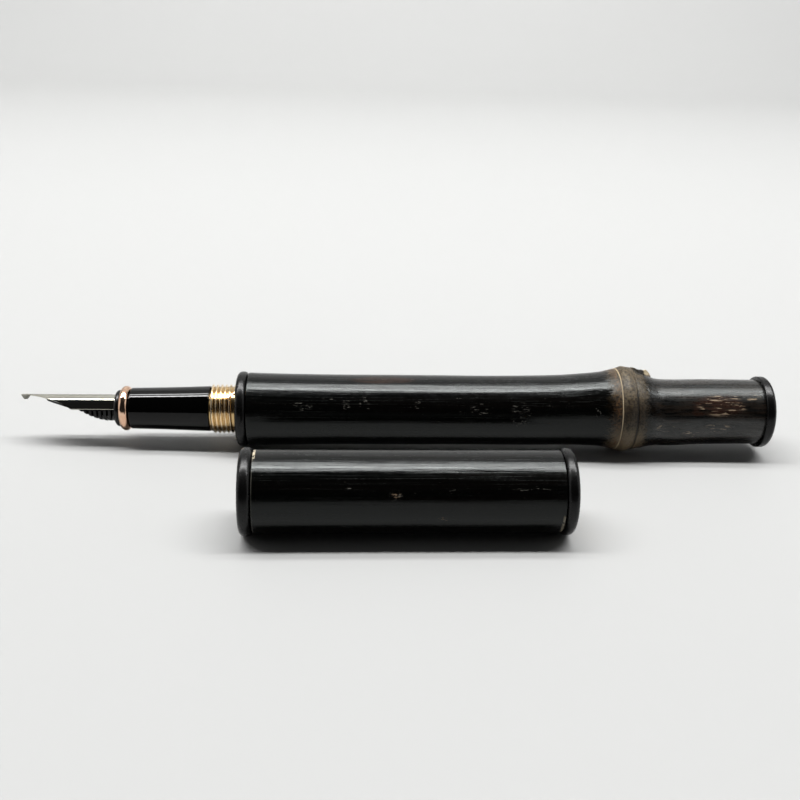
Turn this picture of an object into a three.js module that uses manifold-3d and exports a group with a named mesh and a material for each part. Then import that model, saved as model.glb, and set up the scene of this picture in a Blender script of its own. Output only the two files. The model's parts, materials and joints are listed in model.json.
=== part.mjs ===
// Fountain pen with a bamboo barrel, and its bamboo cap lying beside it. Millimetres, +Z up.
// The pen lies along X with its nib towards -X. It rests on its front ring and on the bamboo node.
// The cap lies in front of it, closed end towards -X and mouth towards +X.
// "Along" values run down a piece's own axis. The pen's start at the middle of its front ring and
// are negative towards the nib. The cap's start at the outer face of its closed end.
import * as THREE from 'three';
import { mergeVertices } from 'three/addons/utils/BufferGeometryUtils.js';
import Module from 'manifold-3d';

const wasm = await Module();
wasm.setup();

// Clearances
const seam = 0.12; // between pieces that are glued end to end
const fit = 0.12; // all round a piece that is glued or pushed into a bore
const runningFit = 0.15; // all round a piece that turns or slides in a bore

// How the two pieces lie
const rollBack = 23; // degrees that the pen is rolled about its axis, nib and bud leaning to +Y
const capAlongPen = 3.5; // the cap's closed end, from the middle of the front ring
const capInFront = 36.35; // the cap's closed end, from the pen's axis
const capYaw = 1.4; // degrees between the cap's axis and the pen's

// Rings and discs that finish the bamboo's cut ends
const ringDiameter = 15.4;
const ringWidth = 2.2;
const ringRounding = 0.95;

// Bamboo barrel
const culmLength = 105.2;
const culmFrontDiameter = 15.0;
const culmWaistDiameter = 14.36;
const culmCollarDiameter = 14.0; // just behind the node
const culmRearDiameter = 13.4;
const nodeAt = 78.3;
const nodeDiameter = 17.7;
const nodeLean = 0.5; // how far the node stands off the axis, towards its bud
const leanInFront = 13; // how far in front of the node the lean fades
const leanBehind = 4.5; // the same behind it
const jointSag = 0.22; // how far the rear joint's front stands off the axis the other way
const sagBehindNode = 9.5;
const sagSpread = 5;
const mouthTaper = 0.2; // off the radius by an eighth of the way to the node
const swellReach = 18; // in front of the node, where the culm starts to swell
const swellShape = [ // shares of the reach, and of the rise from waist to node
  [1, 0.04], [0.69, 0.08], [0.45, 0.19], [0.35, 0.26], [0.24, 0.38], [0.12, 0.65],
];
const ridgeShape = [ // distance behind the node, and depth under the ridge's top
  [-1.7, 0.52], [-1.3, 0.36], [-0.5, 0.06], [0.1, 0], [0.8, 0.18], [1.5, 0.42], [1.8, 0.62],
];
const fallReach = 7; // behind the node, where the rear joint's slender part starts
const fallShape = [[0.43, 0.41], [0.71, 0.76], [1, 1]]; // shares of reach and of fall
const budDiameter = 3.4;
const budBehindNode = 4.6;
const budReach = 8.6; // from the pen's axis to the bud's broken top
const budRoot = 1.2; // how deep the bud's foot is set in the culm
const barrelBore = 9.8;
const barrelBoreDepth = 68;
const septumThickness = 5;
const rearCavity = 8.8;
const endDiscDiameter = 14.8;
const endDiscWidth = 2.1;
const endDiscFrontRounding = 0.35;
const endSpigotLength = 6;

// Threaded bushing in the barrel's mouth
const capThreadDiameter = 10;
const capThreadPitch = 0.9;
const capThreadDepth = 0.42;
const capThreadLength = 5.26;
const bushingBore = 8.1;
const bushingShank = 13;

// Section, which the fingers hold
const sectionLength = 16.2;
const sectionFrontDiameter = 8.4;
const sectionRearDiameter = 9.3;
const sectionBore = 6.6;
const sectionRounding = 0.25;
const trimRingDiameter = 9.15;
const trimRingWidth = 1.9;
const lipDiameter = 7.5;
const lipWidth = 0.9;
const sleeveBore = 7.0;
const sleeveSeat = 5; // how deep the threaded sleeve goes into the section
const sleeveLength = 17.2;

// Nib and feed
const nibThickness = 0.28;
const nibRadius = 2.83; // outside of the bent sheet
const nibWing = 95; // degrees from the nib's crest down to each wing's edge
const nibShoulder = 8.8; // from the lip to where the wings start to narrow
const nibTaper = 8.8; // from the shoulder to the end of the sheet
const nibNarrowing = 0.82; // power of the taper: below 1 the wings narrow fastest at the shoulder
const nibTail = 7; // of the sheet, inside the housing
const nibTipWidth = 1.5;
const breatherDiameter = 1.3;
const breatherFromShoulder = 0.6;
const slitWidth = 0.14;
const tippingLength = 1.7;
const tippingHeight = 1.15;
const tippingEdge = 0.12; // rounding along the pellet's sides
const feedBeak = 14.4; // from the lip to the feed's point
const feedBeakDepth = 0.45;
const feedKeel = 2.56; // from the pen's axis down to the feed's underside
const feedHalfWidth = 3;
const feedEdge = 0.25; // from the pen's axis down to where the comb starts
const combShape = [[0, 0.4], [2.2, 1.55], [4.2, 2.3]]; // fins from the first, and depth under the axis
const combRamp = 5.6; // fins from the first one to the first of full depth
const finCount = 8;
const finPitch = 0.965;
const finGap = 0.42;
const feedCore = 1.35; // radius of the spine that carries the fins
const inkChannelWidth = 0.5;
const inkChannelDepth = 0.7;
const airWayDrop = 0.2;
const housingDepth = 9; // the bore that holds nib and feed
const housingLength = 14;
const nippleDiameter = 3.2;
const nippleLength = 7.2;
const inkBore = 1.5;

// Converter, the piston pump that holds the ink
const converterDiameter = 6.6;
const converterBore = 5.2;
const converterTubeLength = 35.4;
const converterMouthLength = 5.5;
const converterRounding = 0.6;
const collarDiameter = 7.2;
const collarLength = 5;
const collarSkirt = 3; // that goes over the tube's end
const collarGrooveAt = 1.5;
const collarGrooveDepth = 0.25;
const collarGrooveHalfWidth = 0.3;
const knobDiameter = 6;
const knobLength = 16.5;
const knobNeck = 0.3; // how much smaller the neck's radius is
const knobNeckLength = 1.3;
const knobEndThickness = 1.2;
const knobEndRounding = 0.7;
const knobFlutes = 14;
const fluteDiameter = 0.6;
const fluteEndGap = 0.9;
const pistonLength = 4.5;
const pistonSetBack = 2; // from the back of the tube to the piston's back
const pistonWaist = 0.4; // how much smaller the radius is between the two seals
const sealWidth = 0.6;
const sealChamfer = 0.5;
const pistonNose = 0.7;
const rodDiameter = 1.8;
const rodLength = 24.5;
const rodDepth = 2.5; // how deep the rod goes into the piston

// Cap
const capLength = 58;
const capCulmDiameter = 14.6;
const capBore = 11.2;
const capDiscWidth = 2.3;
const capSpigotLength = 4.5;
const linerBore = 9.9;
const linerFloor = 1;
const linerToInsert = 5.5; // from the liner's open end to the thread insert
const capThreadInsertLength = 7;
const capInsertSetBack = 0.3; // from the cap's mouth
const capThreadLeadIn = 0.6;
const capCulmWaist = 0.08; // how much smaller the cap's radius is a third of the way along
const capCulmSwell = 0.05; // the same at two thirds
const capCulmEndLength = 1.5; // of each end that stays plain

// Facets around the larger turned pieces, those with a thread or a close bore, and the small ones
const around = 32;
const aroundThread = 24;
const aroundSmall = 20;
const aroundTiny = 14;
const ringsPerPitch = 5; // of the outside thread
const insideRingsPerPitch = 3;

// Places along the pen that follow from the sizes above
const culmStart = ringWidth / 2 + seam;
const culmEnd = culmStart + culmLength;
const threadEnd = -ringWidth / 2 - seam;
const threadStart = threadEnd - capThreadLength;
const sectionRear = threadStart - seam;
const sectionFront = sectionRear - sectionLength;
const trimRear = sectionFront - seam;
const trimFront = trimRear - trimRingWidth;
const lipRear = trimFront - seam;
const lipFront = lipRear - lipWidth;
const housingRear = lipFront + housingLength;
const housingBore = 2 * (nibRadius + fit);
const sleeveDiameter = bushingBore - 2 * runningFit;
const sleeveFront = sectionRear - sleeveSeat;
const nibShoulderAt = lipFront - nibShoulder;
const nibEnd = nibShoulderAt - nibTaper;
const nibInside = nibRadius - nibThickness;
const budAt = nodeAt + budBehindNode;
const tubeFront = housingRear + 2 * seam;
const tubeRear = tubeFront + converterTubeLength;
const pistonRear = tubeRear - pistonSetBack;
const pistonFront = pistonRear - pistonLength;
const collarRear = tubeRear + seam + collarLength;
const knobFront = collarRear + seam;
const knobRear = knobFront + knobLength;

const lacquer = new THREE.MeshStandardMaterial({ color: 0x1b1c1d, roughness: 0.4, metalness: 0 });
const bamboo = new THREE.MeshStandardMaterial({ color: 0x24221f, roughness: 0.45, metalness: 0 });
const roseGold = new THREE.MeshStandardMaterial({ color: 0xd9a07a, roughness: 0.18, metalness: 1 });
const gold = new THREE.MeshStandardMaterial({ color: 0xd9b06c, roughness: 0.22, metalness: 1 });
const steel = new THREE.MeshStandardMaterial({ color: 0xc9c6bf, roughness: 0.16, metalness: 1 });
const tipAlloy = new THREE.MeshStandardMaterial({ color: 0x9c9b94, roughness: 0.4, metalness: 1 });
const ebonite = new THREE.MeshStandardMaterial({ color: 0x17181a, roughness: 0.5, metalness: 0 });
const clear = new THREE.MeshStandardMaterial({ color: 0xdfe6e8, roughness: 0.08, metalness: 0 });
const rubber = new THREE.MeshStandardMaterial({ color: 0x202020, roughness: 0.8, metalness: 0 });
const liner = new THREE.MeshStandardMaterial({ color: 0x2a2a2b, roughness: 0.6, metalness: 0 });

function named(name, geometry, material) {
  const mesh = new THREE.Mesh(geometry, material);
  mesh.name = name;
  return mesh;
}

// A solid turned about the X axis from [along, radius] points. They run towards +X on outer walls
// and towards -X in bores, and start and end on the axis or at the same point.
function turned(outline, segments = around) {
  const points = outline.map(([along, radius]) => new THREE.Vector2(Math.max(radius, 0), along));
  const onAxis = outline[0][1] === 0 && outline.at(-1)[1] === 0;
  if (!onAxis) points.push(points[0].clone());
  return new THREE.LatheGeometry(points, segments).rotateZ(-Math.PI / 2);
}

// A quarter-round or other arc in an outline, angles in degrees from +X towards the outside.
function arc(along, radius, size, from, to, steps = 3) {
  return Array.from({ length: steps + 1 }, (_, i) => {
    const angle = THREE.MathUtils.degToRad(from + ((to - from) * i) / steps);
    return [along + size * Math.cos(angle), radius + size * Math.sin(angle)];
  });
}

// A plain tube or bush.
function tube(from, to, outside, inside, segments = around) {
  return turned([[from, inside / 2], [from, outside / 2], [to, outside / 2], [to, inside / 2]], segments);
}

// A plain rod.
function rod(from, to, diameter, segments = aroundSmall) {
  return turned([[from, 0], [from, diameter / 2], [to, diameter / 2], [to, 0]], segments);
}

// A ring whose outer corners are rounded, like a bead.
function beadRing(from, to, outside, inside, rounding) {
  const r = outside / 2 - rounding;
  return turned([
    [from, inside / 2],
    ...arc(from + rounding, r, rounding, 180, 90),
    ...arc(to - rounding, r, rounding, 90, 0),
    [to, inside / 2],
  ]);
}

function solidOf(geometry) {
  const bare = geometry.index ? geometry.clone() : geometry;
  bare.deleteAttribute('normal');
  bare.deleteAttribute('uv');
  const merged = mergeVertices(bare, 1e-4);
  const mesh = new wasm.Mesh({
    numProp: 3,
    vertProperties: new Float32Array(merged.attributes.position.array),
    triVerts: new Uint32Array(merged.index.array),
  });
  return new wasm.Manifold(mesh);
}

function geometryOf(solid) {
  const mesh = solid.getMesh();
  const geometry = new THREE.BufferGeometry();
  geometry.setAttribute('position', new THREE.BufferAttribute(new Float32Array(mesh.vertProperties), 3));
  geometry.setIndex(new THREE.BufferAttribute(new Uint32Array(mesh.triVerts), 1));
  geometry.computeVertexNormals();
  return geometry;
}

function box(fromX, toX, width, fromZ, toZ) {
  const shape = new THREE.BoxGeometry(toX - fromX, width, toZ - fromZ);
  return shape.translate((fromX + toX) / 2, 0, (fromZ + toZ) / 2);
}

// An outline in the XZ plane given as [along, height] points, extruded across Y about the middle.
function slab(points, width) {
  const shape = new THREE.Shape(points.map(([x, z]) => new THREE.Vector2(x, z)));
  const extruded = new THREE.ExtrudeGeometry(shape, { depth: width, bevelEnabled: false });
  return extruded.translate(0, 0, -width / 2).rotateX(Math.PI / 2);
}

// Gives every point of a turned piece near the nominal radius a helical thread of rounded ridges.
// inward is 1 for an outside thread, whose roots sink, and -1 for one inside a bore, whose ridges rise.
function cutThread(geometry, from, to, radius, pitch, depth, inward) {
  const position = geometry.attributes.position;
  for (let i = 0; i < position.count; i += 1) {
    const [x, y, z] = [position.getX(i), position.getY(i), position.getZ(i)];
    const here = Math.hypot(y, z);
    const onThread = Math.abs(here - radius) < 1e-3 && x > from + 1e-3 && x < to - 1e-3;
    if (onThread) {
      const turn = Math.atan2(z, y) / (2 * Math.PI);
      const wave = 0.5 - 0.5 * Math.cos(2 * Math.PI * ((x - from) / pitch - turn));
      const runOut = Math.min(1, (x - from) / pitch, (to - x) / pitch);
      const newRadius = radius - (inward > 0 ? depth * wave : depth * (1 - wave)) * runOut;
      position.setXYZ(i, x, (y * newRadius) / here, (z * newRadius) / here);
    }
  }
  geometry.computeVertexNormals();
  return geometry;
}

function evenly(from, to, step) {
  const count = Math.round(Math.abs(to - from) / step);
  return Array.from({ length: count + 1 }, (_, i) => from + ((to - from) * i) / count);
}

// Barrel pieces

// The bamboo's outside as [along, radius] points: a slow waist, the sheath scar in front of the
// node, the node's own ridge, the groove behind it and the thinner rear joint.
function culmOutside() {
  const [front, waist, node, collar, end] = [
    culmFrontDiameter, culmWaistDiameter, nodeDiameter, culmCollarDiameter, culmRearDiameter,
  ].map((diameter) => diameter / 2);
  const rise = node - waist;
  const fall = node - collar;
  const curved = (points, steps) => {
    const curve = new THREE.SplineCurve(points.map(([along, radius]) => new THREE.Vector2(along, radius)));
    return curve.getPoints(steps).map((point) => [point.x, point.y]);
  };
  const frontJoint = curved([
    [culmStart, front],
    [culmStart + nodeAt / 8, front - mouthTaper],
    [nodeAt / 4, waist + mouthTaper / 8],
    [0.45 * nodeAt, waist + mouthTaper / 8],
    [0.62 * nodeAt, waist],
    ...swellShape.map(([reach, share]) => [nodeAt - reach * swellReach, waist + share * rise]),
  ], 12);
  const ridge = ridgeShape.map(([behind, depth]) => [nodeAt + behind, node - depth]);
  const rearJoint = curved([
    ...fallShape.map(([reach, share]) => [nodeAt + reach * fallReach, node - share * fall]),
    [nodeAt + 1.4 * fallReach, 0.7 * collar + 0.3 * end],
    [culmEnd, end],
  ], 8);
  return [...frontJoint, ...ridge, ...rearJoint];
}

// How far the bamboo's outside stands off the pen's axis: up at the node, slightly down behind it.
function leanAt(along) {
  const behind = along - nodeAt;
  const spread = behind < 0 ? leanInFront : leanBehind;
  const sag = jointSag * Math.exp(-(((behind - sagBehindNode) / sagSpread) ** 2));
  return nodeLean * Math.exp(-((behind / spread) ** 2)) - sag;
}

function barrelCulm() {
  const septumFront = culmStart + barrelBoreDepth;
  const septumRear = septumFront + septumThickness;
  const geometry = turned([
    [septumFront, 0],
    [septumFront, barrelBore / 2],
    [culmStart, barrelBore / 2],
    ...culmOutside(),
    [culmEnd, rearCavity / 2],
    [septumRear, rearCavity / 2],
    [septumRear, 0],
  ]);
  const position = geometry.attributes.position;
  for (let i = 0; i < position.count; i += 1) {
    const outside = Math.hypot(position.getY(i), position.getZ(i)) > (barrelBore / 2) * 1.1;
    if (outside) position.setZ(i, position.getZ(i) + leanAt(position.getX(i)));
  }
  const budFoot = culmCollarDiameter / 2 - budRoot;
  const [top, foot] = [0.42 * budDiameter, 0.62 * budDiameter];
  const bud = new THREE.CylinderGeometry(top, foot, budReach - budFoot, aroundTiny);
  bud.rotateX(Math.PI / 2).translate(0, 0, (budReach + budFoot) / 2);
  const dish = new THREE.SphereGeometry(0.36 * budDiameter, aroundTiny - 2, 8);
  dish.translate(-0.15 * budDiameter, 0, budReach + 0.05 * budDiameter);
  const budSolid = solidOf(bud).subtract(solidOf(dish));
  return geometryOf(solidOf(geometry).add(budSolid.translate([budAt, 0, 0])));
}

function barrelFrontRing() {
  return beadRing(-ringWidth / 2, ringWidth / 2, ringDiameter, barrelBore, ringRounding);
}

function barrelEndDisc() {
  const front = culmEnd + seam;
  const rear = front + endDiscWidth;
  const spigot = rearCavity / 2 - fit;
  const rounding = endDiscWidth * 0.45;
  const r = endDiscDiameter / 2;
  return turned([
    [front - endSpigotLength, 0],
    [front - endSpigotLength, spigot],
    [front, spigot],
    ...arc(front + endDiscFrontRounding, r - endDiscFrontRounding, endDiscFrontRounding, 180, 90, 2),
    ...arc(rear - rounding, r - rounding, rounding, 90, 0, 5),
    [rear, 0],
  ]);
}

function capThreadBushing() {
  const outside = capThreadDiameter / 2;
  const rear = culmStart + bushingShank;
  const ringPitch = capThreadPitch / ringsPerPitch;
  const ridges = evenly(threadStart + ringPitch / 2, threadEnd, ringPitch);
  const geometry = turned([
    [threadStart, bushingBore / 2],
    [threadStart, outside - capThreadDepth],
    ...ridges.map((along) => [along, outside]),
    [threadEnd, barrelBore / 2 - fit],
    [rear, barrelBore / 2 - fit],
    [rear, bushingBore / 2],
  ], aroundThread);
  const [from, to] = [threadStart, threadEnd];
  return cutThread(geometry, from, to, outside, capThreadPitch, capThreadDepth, 1);
}

// Section pieces

function sectionGrip() {
  const rounding = sectionRounding;
  const front = sectionFrontDiameter / 2;
  const rear = sectionRearDiameter / 2;
  const counterbore = sleeveDiameter / 2 + fit;
  const stop = sleeveFront - seam;
  return turned([
    [sectionFront, sectionBore / 2],
    ...arc(sectionFront + rounding, front - rounding, rounding, 180, 90, 2),
    [sectionFront + 0.5 * sectionLength, front + 0.42 * (rear - front)],
    ...arc(sectionRear - rounding, rear - rounding, rounding, 90, 0, 2),
    [sectionRear, counterbore],
    [stop, counterbore],
    [stop, sectionBore / 2],
  ]);
}

function sectionTrimRing() {
  return beadRing(trimFront, trimRear, trimRingDiameter, sectionBore, 0.45 * trimRingWidth);
}

function sectionSleeve() {
  return tube(sleeveFront, sleeveFront + sleeveLength, sleeveDiameter, sleeveBore, aroundThread);
}

function nibHousing() {
  const bore = housingBore / 2;
  const floor = lipFront + housingDepth;
  const rounding = 0.9 * Math.min(0.85 * lipWidth, lipDiameter / 2 - bore);
  return turned([
    [lipFront, bore],
    ...arc(lipFront + rounding, lipDiameter / 2 - rounding, rounding, 180, 90),
    [lipRear, lipDiameter / 2],
    [lipRear, sectionBore / 2 - fit],
    [housingRear, sectionBore / 2 - fit],
    [housingRear, nippleDiameter / 2],
    [housingRear + nippleLength, nippleDiameter / 2],
    [housingRear + nippleLength, inkBore / 2],
    [floor, inkBore / 2],
    [floor, bore],
  ], aroundThread);
}

// Half the nib's width, as an angle about the pen's axis, at a distance in front of the lip.
function nibHalfAngle(ahead) {
  const full = THREE.MathUtils.degToRad(nibWing);
  const tip = nibTipWidth / 2 / nibRadius;
  const t = THREE.MathUtils.clamp((ahead - nibShoulder) / nibTaper, 0, 1);
  return THREE.MathUtils.lerp(full, tip, t ** nibNarrowing);
}

// The nib's bent sheet as a closed grid: outer face, inner face and the edges between them.
function nibSheet() {
  const ahead = [
    ...evenly(-nibTail, nibShoulder - nibThickness, nibRadius),
    ...evenly(nibShoulder, nibShoulder + nibTaper, nibTaper / 16),
  ];
  const across = 14;
  const vertices = [];
  for (const radius of [nibRadius, nibInside]) {
    for (const distance of ahead) {
      const half = nibHalfAngle(distance);
      for (let j = 0; j <= across; j += 1) {
        const angle = half * ((2 * j) / across - 1);
        vertices.push(lipFront - distance, radius * Math.sin(angle), radius * Math.cos(angle));
      }
    }
  }
  const row = across + 1;
  const inner = ahead.length * row;
  const last = ahead.length - 1;
  const faces = [];
  const quad = (a, b, c, d) => faces.push(a, c, b, a, d, c);
  for (let i = 0; i < last; i += 1) {
    for (let j = 0; j < across; j += 1) {
      const a = i * row + j;
      quad(a, a + row, a + row + 1, a + 1);
      quad(inner + a, inner + a + 1, inner + a + row + 1, inner + a + row);
    }
    const left = i * row;
    const right = left + across;
    quad(left, inner + left, inner + left + row, left + row);
    quad(right, right + row, inner + right + row, inner + right);
  }
  for (let j = 0; j < across; j += 1) {
    const tip = last * row + j;
    quad(j, j + 1, inner + j + 1, inner + j);
    quad(tip, inner + tip, inner + tip + 1, tip + 1);
  }
  const geometry = new THREE.BufferGeometry();
  geometry.setAttribute('position', new THREE.Float32BufferAttribute(vertices, 3));
  geometry.setIndex(faces);
  return geometry;
}

function nib() {
  const holeAt = nibShoulderAt - breatherFromShoulder;
  const through = 8 * nibThickness;
  const r = breatherDiameter / 2;
  const hole = new THREE.CylinderGeometry(r, r, 2 * through, aroundSmall);
  hole.rotateX(Math.PI / 2).translate(holeAt, 0, nibRadius);
  const slit = box(nibEnd - through, holeAt, slitWidth, nibRadius - through, nibRadius + through);
  return geometryOf(solidOf(nibSheet()).subtract(solidOf(hole)).subtract(solidOf(slit)));
}

// The writing pellet: a rounded wedge under the sheet's end, with the slit's line across its top.
function nibTipping() {
  const rear = nibEnd - seam / 2;
  const top = nibRadius;
  const ahead = (share) => rear - share * tippingLength;
  const below = (share) => top - share * tippingHeight;
  const outline = new THREE.Shape();
  outline.moveTo(rear, top - nibThickness);
  outline.lineTo(rear, below(0.04));
  outline.lineTo(ahead(0.25), top);
  outline.lineTo(ahead(0.72), top);
  outline.quadraticCurveTo(ahead(1), top, ahead(1), below(0.25));
  outline.lineTo(ahead(0.68), below(0.9));
  outline.quadraticCurveTo(ahead(0.5), below(1.08), ahead(0.32), below(0.82));
  const width = 0.74 * nibTipWidth;
  const pellet = new THREE.ExtrudeGeometry(outline, {
    depth: width - 2 * tippingEdge, bevelThickness: tippingEdge, bevelSize: tippingEdge,
    bevelOffset: -tippingEdge, bevelSegments: 2, curveSegments: 5,
  });
  pellet.translate(0, 0, -width / 2 + tippingEdge).rotateX(Math.PI / 2);
  const slit = box(ahead(2), ahead(-1), slitWidth, below(0.5), below(-1));
  return geometryOf(solidOf(pellet).subtract(solidOf(slit)));
}

function feed() {
  const inside = nibInside - fit;
  const beyond = 2 * nibRadius; // more than the feed reaches, for the slabs and cuts
  const point = lipFront - feedBeak;
  const finsFrom = lipFront - (finCount - 0.55) * finPitch;
  const tail = lipFront + housingDepth - seam;
  const side = slab([
    [point, inside],
    [point + feedBeakDepth, inside - feedBeakDepth],
    [nibShoulderAt + feedBeakDepth, -feedEdge],
    ...combShape.map(([fins, depth]) => [finsFrom + fins * finPitch, -depth]),
    [finsFrom + combRamp * finPitch, -feedKeel],
    [tail, -feedKeel],
    [tail, beyond],
    [point, beyond],
  ], 2 * beyond);
  const halfPlan = [
    [point, 0.1 * feedHalfWidth], [nibShoulderAt + 2 * feedBeakDepth, feedHalfWidth], [tail, feedHalfWidth],
  ];
  const plan = new THREE.Shape([
    ...halfPlan.map(([along, half]) => new THREE.Vector2(along, -half)),
    ...halfPlan.toReversed().map(([along, half]) => new THREE.Vector2(along, half)),
  ]);
  const planSlab = new THREE.ExtrudeGeometry(plan, { depth: 2 * beyond, bevelEnabled: false });
  planSlab.translate(0, 0, -beyond);
  const wingEdge = nibRadius * Math.cos(THREE.MathUtils.degToRad(nibWing));
  const upper = rod(point, tail, 2 * inside, aroundThread);
  const lower = box(point, tail, 2 * beyond, -beyond, Math.min(wingEdge, -feedEdge) - 2 * fit);
  const round = rod(point, tail, 2 * nibRadius, aroundThread);
  let body = solidOf(upper).add(solidOf(round).intersect(solidOf(lower)));
  body = body.intersect(solidOf(side)).intersect(solidOf(planSlab));
  const spine = solidOf(rod(point, tail, 2 * feedCore)).translate([0, 0, -feedEdge]);
  for (let i = 0; i < finCount; i += 1) {
    const at = lipFront - (i + 0.5) * finPitch;
    const gap = solidOf(box(at - finGap / 2, at + finGap / 2, 2 * beyond, -beyond, -2.2 * feedEdge));
    body = body.subtract(gap.subtract(spine));
  }
  const channel = box(point - 1, tail + 1, inkChannelWidth, inside - inkChannelDepth, beyond);
  const airWay = solidOf(rod(lipFront, tail + 1, inkBore, aroundTiny)).translate([0, 0, -airWayDrop]);
  return geometryOf(body.subtract(solidOf(channel)).subtract(airWay));
}

// Converter pieces

function converterTube() {
  const mouth = tubeFront + converterMouthLength;
  const r = converterDiameter / 2 - converterRounding;
  return turned([
    [tubeFront, nippleDiameter / 2 + fit],
    ...arc(tubeFront + converterRounding, r, converterRounding, 180, 90),
    [tubeRear, converterDiameter / 2],
    [tubeRear, converterBore / 2],
    [mouth, converterBore / 2],
    [mouth, nippleDiameter / 2 + fit],
  ], aroundSmall);
}

function converterCollar() {
  const front = tubeRear + seam;
  const skirt = front - collarSkirt;
  const groove = front + collarGrooveAt;
  const rodHole = rodDiameter / 2 + runningFit;
  const overTube = converterDiameter / 2 + fit;
  const r = collarDiameter / 2;
  return turned([
    [front, rodHole],
    [front, overTube],
    [skirt, overTube],
    [skirt, r],
    [groove - collarGrooveHalfWidth, r],
    [groove, r - collarGrooveDepth],
    [groove + collarGrooveHalfWidth, r],
    [collarRear, r],
    [collarRear, rodHole],
  ], aroundSmall);
}

function converterPiston() {
  const seal = converterBore / 2 - runningFit / 2;
  const frontSeal = pistonFront + pistonNose;
  const rearSeal = pistonRear - sealChamfer;
  const socket = rodDiameter / 2 + fit;
  const floor = pistonRear - rodDepth;
  return turned([
    [pistonFront, 0],
    [pistonFront + pistonNose / 2, 0.65 * seal],
    [frontSeal, seal],
    [frontSeal + sealWidth, seal],
    [frontSeal + 1.5 * sealWidth, seal - pistonWaist],
    [rearSeal - 1.5 * sealWidth, seal - pistonWaist],
    [rearSeal - sealWidth, seal],
    [rearSeal, seal],
    [pistonRear, seal - sealChamfer],
    [pistonRear, socket],
    [floor, socket],
    [floor, 0],
  ], aroundSmall);
}

function converterRod() {
  const front = pistonRear - rodDepth + seam;
  return rod(front, front + rodLength, rodDiameter);
}

function converterKnob() {
  const r = knobDiameter / 2;
  const bore = rodDiameter / 2 + runningFit;
  const floor = knobRear - knobEndThickness;
  let knob = solidOf(turned([
    [knobFront, bore],
    [knobFront, r - knobNeck],
    [knobFront + knobNeckLength - knobNeck, r - knobNeck],
    [knobFront + knobNeckLength, r],
    ...arc(knobRear - knobEndRounding, r - knobEndRounding, knobEndRounding, 90, 0),
    [knobRear, 0],
    [floor, 0],
    [floor, bore],
    [knobFront, bore],
  ], aroundSmall));
  const fluteFrom = knobFront + knobNeckLength + fluteEndGap;
  const fluteTo = knobRear - knobEndRounding - fluteEndGap;
  const fluteFromAxis = r + fluteDiameter / 8;
  for (let i = 0; i < knobFlutes; i += 1) {
    const flute = solidOf(rod(fluteFrom, fluteTo, fluteDiameter, 8)).translate([0, 0, fluteFromAxis]);
    knob = knob.subtract(flute.rotate([(360 * i) / knobFlutes, 0, 0]));
  }
  return geometryOf(knob);
}

// Cap pieces

const capCulmStart = capDiscWidth + seam;
const capRingStart = capLength - ringWidth;
const capCulmEnd = capRingStart - seam;
const insertTo = capLength - capInsertSetBack;
const insertFrom = insertTo - capThreadInsertLength;
const linerFrom = capDiscWidth + capSpigotLength + seam;
const linerTo = insertFrom - linerToInsert;

function capEndDisc() {
  const spigot = capBore / 2 - fit;
  const r = ringDiameter / 2 - ringRounding;
  return turned([
    [0, 0],
    ...arc(ringRounding, r, ringRounding, 180, 90),
    ...arc(capDiscWidth - ringRounding, r, ringRounding, 90, 0),
    [capDiscWidth, spigot],
    [capDiscWidth + capSpigotLength, spigot],
    [capDiscWidth + capSpigotLength, 0],
  ]);
}

function capCulm() {
  const r = capCulmDiameter / 2;
  return turned([
    [capCulmStart, capBore / 2],
    [capCulmStart, r],
    [capCulmStart + capCulmEndLength, r],
    [capLength / 3, r - capCulmWaist],
    [(capLength * 2) / 3, r - capCulmSwell],
    [capCulmEnd - capCulmEndLength, r],
    [capCulmEnd, r],
    [capCulmEnd, capBore / 2],
  ]);
}

function capMouthRing() {
  return beadRing(capRingStart, capLength, ringDiameter, capBore, ringRounding);
}

function capLiner() {
  const outside = capBore / 2 - fit;
  return turned([
    [linerFrom, 0],
    [linerFrom, outside],
    [linerTo, outside],
    [linerTo, linerBore / 2],
    [linerFrom + linerFloor, linerBore / 2],
    [linerFrom + linerFloor, 0],
  ], aroundThread);
}

function capThreadInsert() {
  const outside = capBore / 2 - fit;
  const root = capThreadDiameter / 2 + runningFit;
  const ringPitch = capThreadPitch / insideRingsPerPitch;
  const ridges = evenly(insertTo - capThreadLeadIn, insertFrom + capThreadLeadIn, ringPitch);
  const geometry = turned([
    [insertFrom, root],
    [insertFrom, outside],
    [insertTo, outside],
    [insertTo, root],
    ...ridges.map((along) => [along, root]),
  ], aroundThread);
  return cutThread(geometry, insertFrom, insertTo, root, capThreadPitch, capThreadDepth, -1);
}

// The pen, about its own axis
const pen = new THREE.Group();
pen.add(
  named('barrel_culm', barrelCulm(), bamboo),
  named('barrel_front_ring', barrelFrontRing(), lacquer),
  named('barrel_end_disc', barrelEndDisc(), lacquer),
  named('cap_thread_bushing', capThreadBushing(), gold),
  named('section_grip', sectionGrip(), lacquer),
  named('section_trim_ring', sectionTrimRing(), roseGold),
  named('section_sleeve', sectionSleeve(), gold),
  named('nib_housing', nibHousing(), ebonite),
  named('nib', nib(), steel),
  named('nib_tipping', nibTipping(), tipAlloy),
  named('feed', feed(), ebonite),
  named('converter_tube', converterTube(), clear),
  named('converter_collar', converterCollar(), steel),
  named('converter_piston', converterPiston(), rubber),
  named('converter_rod', converterRod(), steel),
  named('converter_knob', converterKnob(), ebonite),
);
pen.rotation.x = -THREE.MathUtils.degToRad(rollBack);

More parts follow.
